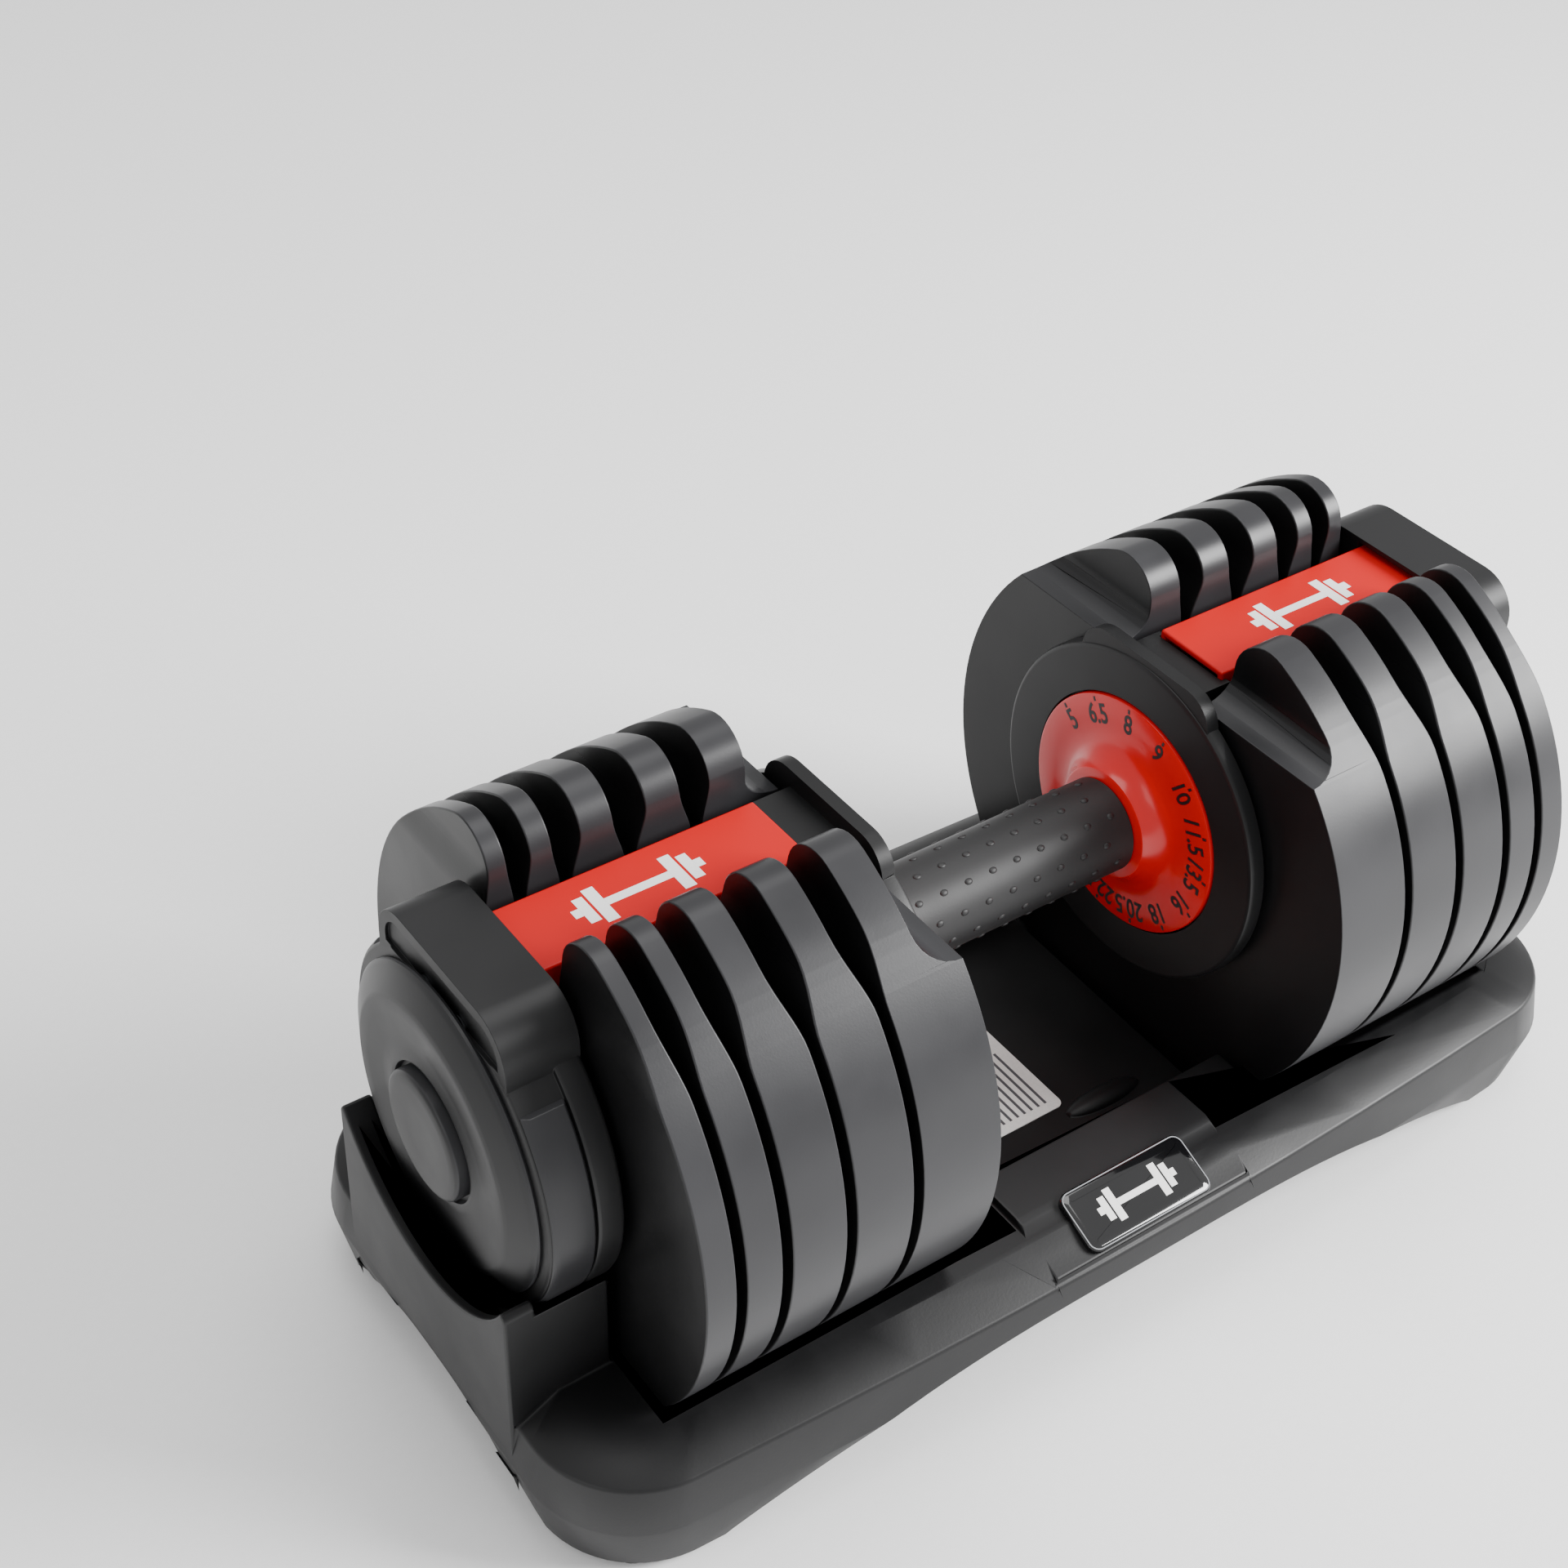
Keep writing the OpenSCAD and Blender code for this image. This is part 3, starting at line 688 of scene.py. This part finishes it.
housing = turned("inner_housing", [
    (64.0, 46.2), (64.0, 62.0), (64.6, 63.4), (66.0, 64.0),
    (70.0, 64.0), (70.0, 12.5), (67.6, 12.5), (67.6, 46.2),
])
shoulder = extruded("shoulder", "X", 65.0, 70.0, shouldered(32, AXIS + 20, AXIS + 66, 12))
cut_out(shoulder, drum("keep", 46.2, 60.0, 72.0))
neck = extruded("neck", "X", 69.0, 87.8, [(-17.8, 150), (17.8, 150), (17.8, 185.2), (-17.8, 185.2)])
join_with(housing, shoulder, neck)
cut_out(housing, block("channel_seat", (85.7, -15.6, 172.8), (95, 15.6, 189)))
close_up(housing)
soften(housing, 0.8, segments=2, angle=38.0)
# Walls that do not face up get a slightly lighter colour, a painted highlight.
frame_black = moulded_abs("abs_satin_frame", "#0f0f10", "#121213", 0.4, grain=0.7, depth=0.03)
for side, piece in both_sides(housing, "housing").items():
    coat(piece, frame_black)
    place_on(piece, "dumbbell_frame", "frame_black", "inner_housing_" + side)

# ---- end frames ----
# A moulded frame closes each head: a round drum below and a block with rounded
# shoulders above, in two shells whose parting line shows as a step, the lower
# shell's rim painted lighter as a highlight, with two recessed screws high on the outer face.
END_IN, END_OUT, END_RADIUS = 181.9, 206.9, 61.0

flange = turned("end_flange", [
    (END_IN, 9.9), (END_IN, 59.6), (END_IN + 0.5, 60.6),
    (END_IN + 1.5, END_RADIUS), (END_IN + 8.0, END_RADIUS),
    (END_IN + 9.0, 60.4), (END_IN + 9.4, 59.2), (END_OUT - 0.8, 59.2), (END_OUT, 58.0), (END_OUT, 13.6),
    (195.9, 13.6), (195.9, 9.9),
])
top_block = extruded(
    "top_block", "X", END_IN, END_OUT - 0.4, shouldered(38, AXIS + 4, AXIS + 66, 15, steps=10),
)
cut_out(top_block, drum("keep", 20.0, 170.0, 220.0))
join_with(flange, top_block)
# Inside of the block: the channel's seat, and the recess round the screws.
cut_out(
    flange,
    block("channel_seat", (180.0, -15.6, 172.8), (188.0, 15.6, 190.0)),
    extruded("face_recess", "X", END_OUT - 1.6, END_OUT + 2, shouldered(33.5, AXIS + 50, AXIS + 61.5, 9)),
)
SCREW_Y, SCREW_Z = 10.0, 175.0
for y in (-SCREW_Y, SCREW_Y):
    cut_out(flange, drum("screw_hole", 3.9, END_OUT - 4.4, END_OUT + 2, y=y, z=SCREW_Z, sides=40))
close_up(flange)
soften(flange, 1.4, segments=3, angle=38.0)

# The lower shell stands a little proud of the drum and ends in a step at both sides.
STEP_HEIGHT = 40.0
lower = turned("lower_shell", [
    (END_IN + 9.6, 57.0), (END_IN + 9.6, 59.8), (END_IN + 10.4, 60.8),
    (END_OUT - 3.4, 60.8), (END_OUT - 1.0, 59.6), (END_OUT - 1.0, 57.0),
])
cut_out(lower, block("above_step", (END_IN, -80, AXIS + STEP_HEIGHT), (END_OUT + 5, 80, AXIS + 80)))
close_up(lower)
soften(lower, 0.5, segments=2, angle=38.0)
# The rims of the end frame are painted slightly lighter as a highlight, and those of the lower shell much
# lighter.
end_black = moulded_abs("abs_satin_end_frame", "#0e0e0f", "#141415", 0.4, grain=0.7, depth=0.03, facing="X")
shell_black = moulded_abs(
    "abs_lower_shell_painted_highlight", "#121213", "#2a2a2c", 0.36, grain=0.7, depth=0.03, facing="X",
)
for side, piece in both_sides(flange, "end_frame_body").items():
    coat(piece, end_black)
    place_on(piece, "dumbbell_frame", "frame_black", "end_frame_" + side)
for side, piece in both_sides(lower, "end_lower_shell").items():
    coat(piece, shell_black)
    place_on(piece, "dumbbell_frame", "frame_black")

# Screws: black-oxide cap heads with a hexagon socket, turned in from outside.
black_oxide, tree = new_finish("steel_black_oxide")
place = add(tree, "ShaderNodeTexCoord")
bloom = add(
    tree, "ShaderNodeTexNoise", {"Scale": 700.0, "Detail": 3.0}, {"Vector": place.outputs["Object"]},
)
oxide = add(
    tree, "ShaderNodeMix", {6: paint("#4a4b4e"), 7: paint("#77797d")}, {0: bloom.outputs[0]},
    data_type="RGBA",
)
skin = add(
    tree, "ShaderNodeBsdfPrincipled", {"Metallic": 1.0, "Roughness": 0.28},
    {"Base Color": oxide.outputs[2]},
)
add(tree, "ShaderNodeOutputMaterial", links={"Surface": skin.outputs[0]})
coat(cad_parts["end_screws"], black_oxide)

# ---- end covers and hub caps ----
# A shallow dished cover snaps over each end, its rim a wide cone that takes the
# light and is painted lighter as a highlight, and a round cap sits in a groove in its
# middle. Satin ABS.
COVER_OUT, HUB_OUT = 213.9, 216.9
cover = turned("end_cover", [
    (END_OUT - 0.2, 13.6), (END_OUT - 0.2, 54.6), (END_OUT + 0.7, 55.0), (END_OUT + 1.6, 54.8),
    (END_OUT + 3.0, 53.2), (COVER_OUT - 0.9, 46.2), (COVER_OUT - 0.2, 44.4), (COVER_OUT - 0.5, 40.0),
    (COVER_OUT - 1.3, 32.0), (COVER_OUT - 1.3, 27.5), (COVER_OUT - 0.6, 25.0), (COVER_OUT - 0.9, 23.6),
    (COVER_OUT - 3.0, 23.2), (COVER_OUT - 3.0, 13.6),
], steps=128)
only(cover)
bpy.ops.object.shade_smooth_by_angle(angle=math.radians(28))
# The rims of the cover and the hub cap get a lighter colour, a painted highlight.
cover_black = moulded_abs(
    "abs_satin_end_cover", "#101011", "#2c2c2e", 0.38, grain=0.7, depth=0.03, facing="X",
)
for side, piece in both_sides(cover, "end_cover_shell").items():
    coat(piece, cover_black)
    place_on(piece, "dumbbell_frame", "cover_black", "end_cover_" + side)

cap = turned("hub_cap", [
    (COVER_OUT - 3.0, 0.0), (COVER_OUT - 3.0, 21.8), (HUB_OUT - 1.6, 21.8), (HUB_OUT - 0.8, 21.3),
    (HUB_OUT - 0.3, 20.2), (HUB_OUT, 17.5), (HUB_OUT - 0.1, 9.0), (HUB_OUT - 0.2, 0.0),
])
only(cap)
bpy.ops.object.shade_smooth_by_angle(angle=math.radians(35))
for side, piece in both_sides(cap, "hub_cap_disc").items():
    coat(piece, cover_black)
    place_on(piece, "dumbbell_frame", "cover_black", "hub_cap_" + side)

# ---- red channels ----
# Folded steel channel, powder coated red, that ties the inner housing to the end
# frame through the slots of the plates; a plain sign is printed on its top.
CHANNEL_IN, CHANNEL_OUT, CHANNEL_TOP = 85.9, 187.9, 188.0
SIGN_X = 138.0
channel = extruded("red_channel", "X", CHANNEL_IN, CHANNEL_OUT, [
    (-15.5, CHANNEL_TOP - 15), (-13.1, CHANNEL_TOP - 15),
    (-13.1, CHANNEL_TOP - 2.4), (13.1, CHANNEL_TOP - 2.4),
    (13.1, CHANNEL_TOP - 15), (15.5, CHANNEL_TOP - 15),
    (15.5, CHANNEL_TOP), (-15.5, CHANNEL_TOP),
])
soften(channel, 0.9, segments=4, angle=60.0)
red_coat, tree = new_finish("powder_coat_red")
place = add(tree, "ShaderNodeTexCoord")
# Powder coat pulls into an orange peel about 1 mm across; drawn at that size.
peel = add(tree, "ShaderNodeTexNoise", {"Scale": 900.0, "Detail": 1.0}, {"Vector": place.outputs["Object"]})
drift = add(tree, "ShaderNodeTexNoise", {"Scale": 22.0, "Detail": 2.0}, {"Vector": place.outputs["Object"]})
red = add(
    tree, "ShaderNodeMix", {6: paint("#b80002"), 7: paint("#c20104")}, {0: drift.outputs[0]},
    data_type="RGBA",
)
ripple = add(tree, "ShaderNodeBump", {"Strength": 0.18, "Distance": 0.05 * MM}, {"Height": peel.outputs[0]})
skin = add(
    tree, "ShaderNodeBsdfPrincipled", {"Roughness": 0.42, "IOR": 1.5, "Specular IOR Level": 0.25},
    {"Base Color": red.outputs[2], "Normal": ripple.outputs[0]},
)
add(tree, "ShaderNodeOutputMaterial", links={"Surface": skin.outputs[0]})
for side, piece in both_sides(channel, "channel").items():
    coat(piece, red_coat)
    place_on(piece, "dumbbell_frame", "bridge_red", "bridge_" + side)
    sign = dumbbell_sign("channel_sign_" + side, 46.0, 0.12)
    only(sign)
    sign.location = ((SIGN_X if side == "right" else -SIGN_X) * MM, 0.0, (CHANNEL_TOP - 0.02) * MM)
    bpy.ops.object.transform_apply(location=True, rotation=True, scale=True)
    coat(sign, white_ink)
    place_on(sign, "dumbbell_frame", "bridge_red")

# ---- handle rotor ----
# A drawn steel tube turns on the axle; the rubber grip is moulded on it with
# small studs, and it carries a dial at each end and the selector inside.
GRIP_RADIUS, GRIP_END = 17.5, 54.0
coat(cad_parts["handle_tube"], machined("steel_drawn_tube", "#a4a7aa", 0.34, 2200.0))
grip = turned("grip_sleeve", [
    (-GRIP_END, 11.0), (-GRIP_END, 16.8), (-GRIP_END + 0.7, GRIP_RADIUS),
    (-30.0, GRIP_RADIUS), (0.0, GRIP_RADIUS), (30.0, GRIP_RADIUS),
    (GRIP_END - 0.7, GRIP_RADIUS), (GRIP_END, 16.8), (GRIP_END, 11.0),
], steps=72)
only(grip)
bpy.ops.object.shade_smooth_by_angle(angle=math.radians(35))

only()
bpy.ops.mesh.primitive_uv_sphere_add(segments=10, ring_count=6, radius=1.0)
stud = bpy.context.object
stud.scale = (1.7 * MM, 1.2 * MM, 0.6 * MM)
bpy.ops.object.transform_apply(location=True, rotation=True, scale=True)
only(stud)
bpy.ops.object.shade_smooth()
studs = []
STUD_ROWS, STUD_PITCH, FIRST_STUD, LAST_STUD = 12, 10.4, -46.8, 50.0
for row in range(STUD_ROWS):
    around = math.radians(360 / STUD_ROWS * row + 8)
    for k in range(10):
        x = FIRST_STUD + STUD_PITCH * k + (STUD_PITCH / 2 if row % 2 else 0)
        if abs(x) > LAST_STUD:
            continue
        copy = stud.copy()
        copy.data = stud.data.copy()
        bpy.context.collection.objects.link(copy)
        copy.rotation_euler = (around - math.pi / 2, 0.0, 0.0)
        reach = GRIP_RADIUS - 0.1
        copy.location = (x * MM, reach * math.cos(around) * MM, (AXIS + reach * math.sin(around)) * MM)
        studs.append(copy)
bpy.data.objects.remove(stud)
only(*studs)
bpy.ops.object.transform_apply(location=True, rotation=True, scale=True)
bpy.ops.object.join()
studs = bpy.context.object
studs.name = studs.data.name = "grip_studs"

grip_rubber, tree = new_finish("rubber_overmoulded_grip")
place = add(tree, "ShaderNodeTexCoord")
# Moulded rubber has a matt skin pitted at about 0.3 mm; drawn at 0.8 mm to show.
pits = add(
    tree, "ShaderNodeTexNoise", {"Scale": 1250.0, "Detail": 3.0}, {"Vector": place.outputs["Object"]},
)
wear = add(tree, "ShaderNodeTexNoise", {"Scale": 45.0, "Detail": 3.0}, {"Vector": place.outputs["Object"]})
rubber = add(
    tree, "ShaderNodeMix", {6: paint("#0f0f10"), 7: paint("#171718")}, {0: wear.outputs[0]},
    data_type="RGBA",
)
dull = add(tree, "ShaderNodeMapRange", {"To Min": 0.46, "To Max": 0.6}, {"Value": wear.outputs[0]})
pitted = add(tree, "ShaderNodeBump", {"Strength": 0.3, "Distance": 0.06 * MM}, {"Height": pits.outputs[0]})
skin = add(
    tree, "ShaderNodeBsdfPrincipled", {"IOR": 1.52},
    {"Base Color": rubber.outputs[2], "Roughness": dull.outputs["Result"], "Normal": pitted.outputs[0]},
)
add(tree, "ShaderNodeOutputMaterial", links={"Surface": skin.outputs[0]})
coat(grip, grip_rubber)
coat(studs, grip_rubber)
place_on(grip, "handle_rotor", "grip_rubber", "grip")
place_on(studs, "handle_rotor", "grip_rubber")

# ---- dials ----
# Gloss red moulding at each end of the grip: a bell-shaped collar that flows
# into a flat disc, with the weight of each setting printed round it in black.
DIAL_FACE, DIAL_RADIUS, COLLAR = 63.0, 45.5, 9.0
HOLLOW, FLAT_FROM = 12.0, 32.5
flare = []
for k in range(14):
    # Quarter of a hollow: the collar leaves the grip at a steep rim and runs out flat on the face.
    x = DIAL_FACE - COLLAR + 0.4 + (COLLAR - 0.4) * (k / 13)
    dx = x - (DIAL_FACE - HOLLOW)
    flare.append((x, FLAT_FROM - math.sqrt(max(0.0, HOLLOW * HOLLOW - dx * dx))))
dial = turned("dial", [
    (DIAL_FACE - COLLAR, 11.0), (DIAL_FACE - COLLAR, flare[0][1] - 0.6), *flare,
    (DIAL_FACE, 36.0), (DIAL_FACE, 44.6), (DIAL_FACE + 0.3, 45.3), (DIAL_FACE + 0.9, DIAL_RADIUS),
    (DIAL_FACE + 3.8, DIAL_RADIUS), (DIAL_FACE + 4.0, 45.0),
    (DIAL_FACE + 4.0, 12.0), (DIAL_FACE + 7.6, 12.0),
    (DIAL_FACE + 7.6, 6.05), (DIAL_FACE - COLLAR + 4, 6.05), (DIAL_FACE - COLLAR + 4, 11.0),
], steps=128)
only(dial)
bpy.ops.object.shade_smooth_by_angle(angle=math.radians(35))
dial_gloss, tree = new_finish("abs_gloss_red_dial")
place = add(tree, "ShaderNodeTexCoord")
pull = add(tree, "ShaderNodeTexNoise", {"Scale": 35.0, "Detail": 2.0}, {"Vector": place.outputs["Object"]})
red = add(
    tree, "ShaderNodeMix", {6: paint("#c40004"), 7: paint("#d00006")}, {0: pull.outputs[0]},
    data_type="RGBA",
)
sink = add(tree, "ShaderNodeBump", {"Strength": 0.05, "Distance": 0.1 * MM}, {"Height": pull.outputs[0]})
skin = add(
    tree, "ShaderNodeBsdfPrincipled",
    {
        "Roughness": 0.24, "IOR": 1.54, "Specular IOR Level": 0.35,
        "Coat Weight": 0.15, "Coat Roughness": 0.06,
    },
    {"Base Color": red.outputs[2], "Normal": sink.outputs[0]},
)
add(tree, "ShaderNodeOutputMaterial", links={"Surface": skin.outputs[0]})
black_ink = printed("ink_black_figures", "#111112", 0.4)

SETTINGS = ("5", "6.5", "8", "9", "10", "11.5", "13.5", "16", "18", "20.5", "22.5", "25")
FIRST_ANGLE, ANGLE_STEP = 38.0, 24.0
FIGURE_SIZE, FIGURE_RADIUS, TICK_RADIUS = 10.6, 37.6, 43.4
dials = both_sides(dial, "dial_disc")
for side, piece in dials.items():
    coat(piece, dial_gloss)
    place_on(piece, "handle_rotor", "dial_red", "dial_" + side)
    s = 1 if side == "right" else -1
    facing = Vector((-s, 0.0, 0.0))
    figures = []
    for k, words in enumerate(SETTINGS):
        around = math.radians(FIRST_ANGLE + ANGLE_STEP * k)
        outward = Vector((0.0, math.cos(around), math.sin(around)))
        along = outward.cross(facing)
        lie = Matrix((along, outward, facing)).transposed().to_euler()
        spot = Vector((s * (DIAL_FACE - 0.02), 0.0, AXIS)) * MM
        only()
        bpy.ops.object.text_add()
        figure = bpy.context.object
        figure.data.body = words
        figure.data.align_x, figure.data.align_y = "CENTER", "CENTER"
        figure.data.size = FIGURE_SIZE * MM
        figure.data.extrude = 0.07 * MM
        figure.data.offset = 0.18 * MM
        figure.data.resolution_u = 4
        bpy.ops.object.convert(target="MESH")
        figure = bpy.context.object
        figure.scale = (0.82, 1.0, 1.0)
        bpy.ops.object.transform_apply(location=False, rotation=False, scale=True)
        figure.location = spot + outward * FIGURE_RADIUS * MM
        figure.rotation_euler = lie
        tick = block("tick", (-0.5, -0.9, -0.07), (0.5, 0.9, 0.07))
        tick.location = spot + outward * TICK_RADIUS * MM
        tick.rotation_euler = lie
        figures += [figure, tick]
    only(*figures)
    bpy.ops.object.transform_apply(location=True, rotation=True, scale=True)
    bpy.ops.object.join()
    figures = bpy.context.object
    figures.name = figures.data.name = "dial_figures_" + side
    coat(figures, black_ink)
    place_on(figures, "handle_rotor", "dial_red")

# ---- selectors ----
# A zinc sleeve and five die-cast discs in each head turn with the dial and lift
# or leave each plate by its lug.
zinc = machined("zinc_die_cast", "#b4b7ba", 0.4, 500.0)
disc_zinc = machined("zinc_yellow_passivated", "#b79a4a", 0.38, 500.0)
for side in ("left", "right"):
    coat(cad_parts["selector_" + side], zinc)
    coat(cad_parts["selector_discs_" + side], disc_zinc)

# ---- plates ----
# Each plate is a cast core in a moulded ABS cover: a round disc with a slot that
# opens at the top between two lobes, which are thinner than the disc so that
# the lifting fingers pass. Satin black, its rounded rim painted lighter as a highlight.
PLATE_RADIUS, PLATE_CENTRE = 100.0, 116.0
SLOT_HALF, TIP_RADIUS = 21.0, 14.0
LOBE_START, LOBE_BLEND = AXIS + 53.0, 19.0
# Inner face, thickness, rounding and the parts taken off the inner and outer face.
PLATES = {
    5: (72.0, 29.5, 7.0, 0.44, 0.10),
    4: (105.1, 21.0, 5.8, 0.20, 0.20),
    3: (129.7, 19.5, 5.4, 0.20, 0.20),
    2: (152.8, 12.5, 3.5, 0.20, 0.20),
    1: (168.9, 10.5, 3.0, 0.19, 0.19),
}


def plate_outline():
    tip_y = SLOT_HALF + TIP_RADIUS
    tip_z = math.sqrt((PLATE_RADIUS - TIP_RADIUS) ** 2 - tip_y ** 2)
    meet = math.degrees(math.atan2(tip_z, tip_y))
    side = []
    for k in range(1, 9):
        a = math.radians(-90 + 90 * k / 8)
        side.append((SLOT_HALF * math.cos(a), AXIS + SLOT_HALF * math.sin(a)))
    for k in range(11):
        a = math.radians(180 + (meet - 180) * k / 10)
        side.append((tip_y + TIP_RADIUS * math.cos(a), PLATE_CENTRE + tip_z + TIP_RADIUS * math.sin(a)))
    for k in range(1, 53):
        a = math.radians(meet + (-90 - meet) * k / 52)
        side.append((PLATE_RADIUS * math.cos(a), PLATE_CENTRE + PLATE_RADIUS * math.sin(a)))
    return [(0.0, AXIS - SLOT_HALF), *side, *[(-y, z) for y, z in reversed(side[:-1])]]


def shape_plate(number):
    inner, thick, rounding, inner_part, outer_part = PLATES[number]
    plate = extruded("plate", "X", inner, inner + thick, plate_outline())
    deep = number == 5
    # Heights of the rows that carry the step, and how far each face has moved in there.
    rows = []
    for k in range(9):
        t = k / 8
        rows.append((LOBE_START + LOBE_BLEND * t, t * t * (3 - 2 * t)))
    notch = []
    if deep:
        for k in range(8):
            a = math.pi / 2 * k / 7
            notch.append((AXIS + 57.0 + 9.0 * (1 - math.cos(a)), math.sin(a)))
    only(plate)
    bpy.ops.object.mode_set(mode="EDIT")
    for z, _ in sorted(rows + notch):
        bpy.ops.mesh.select_all(action="SELECT")
        bpy.ops.mesh.bisect(plane_co=(0, 0, z * MM), plane_no=(0, 0, 1), use_fill=False)
    bpy.ops.object.mode_set(mode="OBJECT")

    def moved(z, steps):
        part = 0.0
        for (z0, a), (z1, b) in zip(steps, steps[1:]):
            if z >= z0:
                part = a + (b - a) * min(1.0, (z - z0) / max(z1 - z0, 1e-6))
        return part

    for vertex in plate.data.vertices:
        x, z = vertex.co.x / MM, vertex.co.z / MM
        if abs(x - inner) < 0.01:
            share = moved(z, notch if deep else rows) * inner_part
            if deep and z < notch[0][0] + 0.02:
                share = 0.0
            vertex.co.x += share * thick * MM
        else:
            vertex.co.x -= moved(z, rows) * outer_part * thick * MM
    close_up(plate)
    soften(plate, rounding, segments=5, angle=50.0)
    return plate


# The rims get a lighter colour, a painted highlight.
plate_black = moulded_abs(
    "abs_satin_plate_cover", "#0d0d0e", "#29292b", 0.36, grain=0.8, depth=0.04, facing="X",
)
for number in PLATES:
    for side, piece in both_sides(shape_plate(number), "plate_cover%d" % number).items():
        coat(piece, plate_black)
        place_on(piece, "plate%d_%s_body" % (number, side), "plate_cover", "plate%d_%s" % (number, side))

# Cores: grey iron, sand cast, seen only where a lug reaches into the slot.
cast_iron, tree = new_finish("iron_sand_cast")
place = add(tree, "ShaderNodeTexCoord")
sand = add(
    tree, "ShaderNodeTexNoise", {"Scale": 1000.0, "Detail": 4.0}, {"Vector": place.outputs["Object"]},
)
iron = add(
    tree, "ShaderNodeMix", {6: paint("#4c4d50"), 7: paint("#6d6f72")}, {0: sand.outputs[0]},
    data_type="RGBA",
)
coarse = add(tree, "ShaderNodeBump", {"Strength": 0.6, "Distance": 0.15 * MM}, {"Height": sand.outputs[0]})
skin = add(
    tree, "ShaderNodeBsdfPrincipled", {"Metallic": 0.85, "Roughness": 0.6},
    {"Base Color": iron.outputs[2], "Normal": coarse.outputs[0]},
)
add(tree, "ShaderNodeOutputMaterial", links={"Surface": skin.outputs[0]})
for number in PLATES:
    for side in ("left", "right"):
        coat(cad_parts["core%d_%s" % (number, side)], cast_iron)

# ---- floor and light ----
# A plain pale floor, a large soft light from the front right that draws the
# rims, a weak one from the left and an even pale room.
only()
bpy.ops.mesh.primitive_plane_add(size=14.0)
floor = bpy.context.object
floor.name = "studio_floor"
matt_floor, tree = new_finish("paper_backdrop")
place = add(tree, "ShaderNodeTexCoord")
fleck = add(
    tree, "ShaderNodeTexNoise", {"Scale": 300.0, "Detail": 2.0}, {"Vector": place.outputs["Object"]},
)
tone = add(
    tree, "ShaderNodeMix", {6: paint("#f4f4f4"), 7: paint("#f8f8f8")}, {0: fleck.outputs[0]},
    data_type="RGBA",
)
skin = add(tree, "ShaderNodeBsdfPrincipled", {"Roughness": 0.9}, {"Base Color": tone.outputs[2]})
add(tree, "ShaderNodeOutputMaterial", links={"Surface": skin.outputs[0]})
coat(floor, matt_floor)


def softbox(name, place, aim, size, watts):
    """A square area light that looks at a point."""
    only()
    way = (Vector(place) - Vector(aim)).to_track_quat("Z", "Y").to_euler()
    bpy.ops.object.light_add(type="AREA", location=place, rotation=way)
    lamp = bpy.context.object
    lamp.name = name
    lamp.data.size = size
    lamp.data.energy = watts
    return lamp


softbox("key_light", (1.25, -1.05, 1.0), (0.0, 0.0, 0.12), 0.8, 80.0)
softbox("top_light", (0.2, 0.3, 1.9), (0.0, 0.0, 0.1), 1.2, 16.0)
softbox("left_light", (-1.6, -0.5, 0.9), (0.0, 0.0, 0.1), 0.8, 4.0)
room = bpy.data.worlds.new("pale_room")
room.use_nodes = True
room.node_tree.nodes["Background"].inputs["Color"].default_value = paint("#ffffff")
room.node_tree.nodes["Background"].inputs["Strength"].default_value = 0.9
bpy.context.scene.world = room
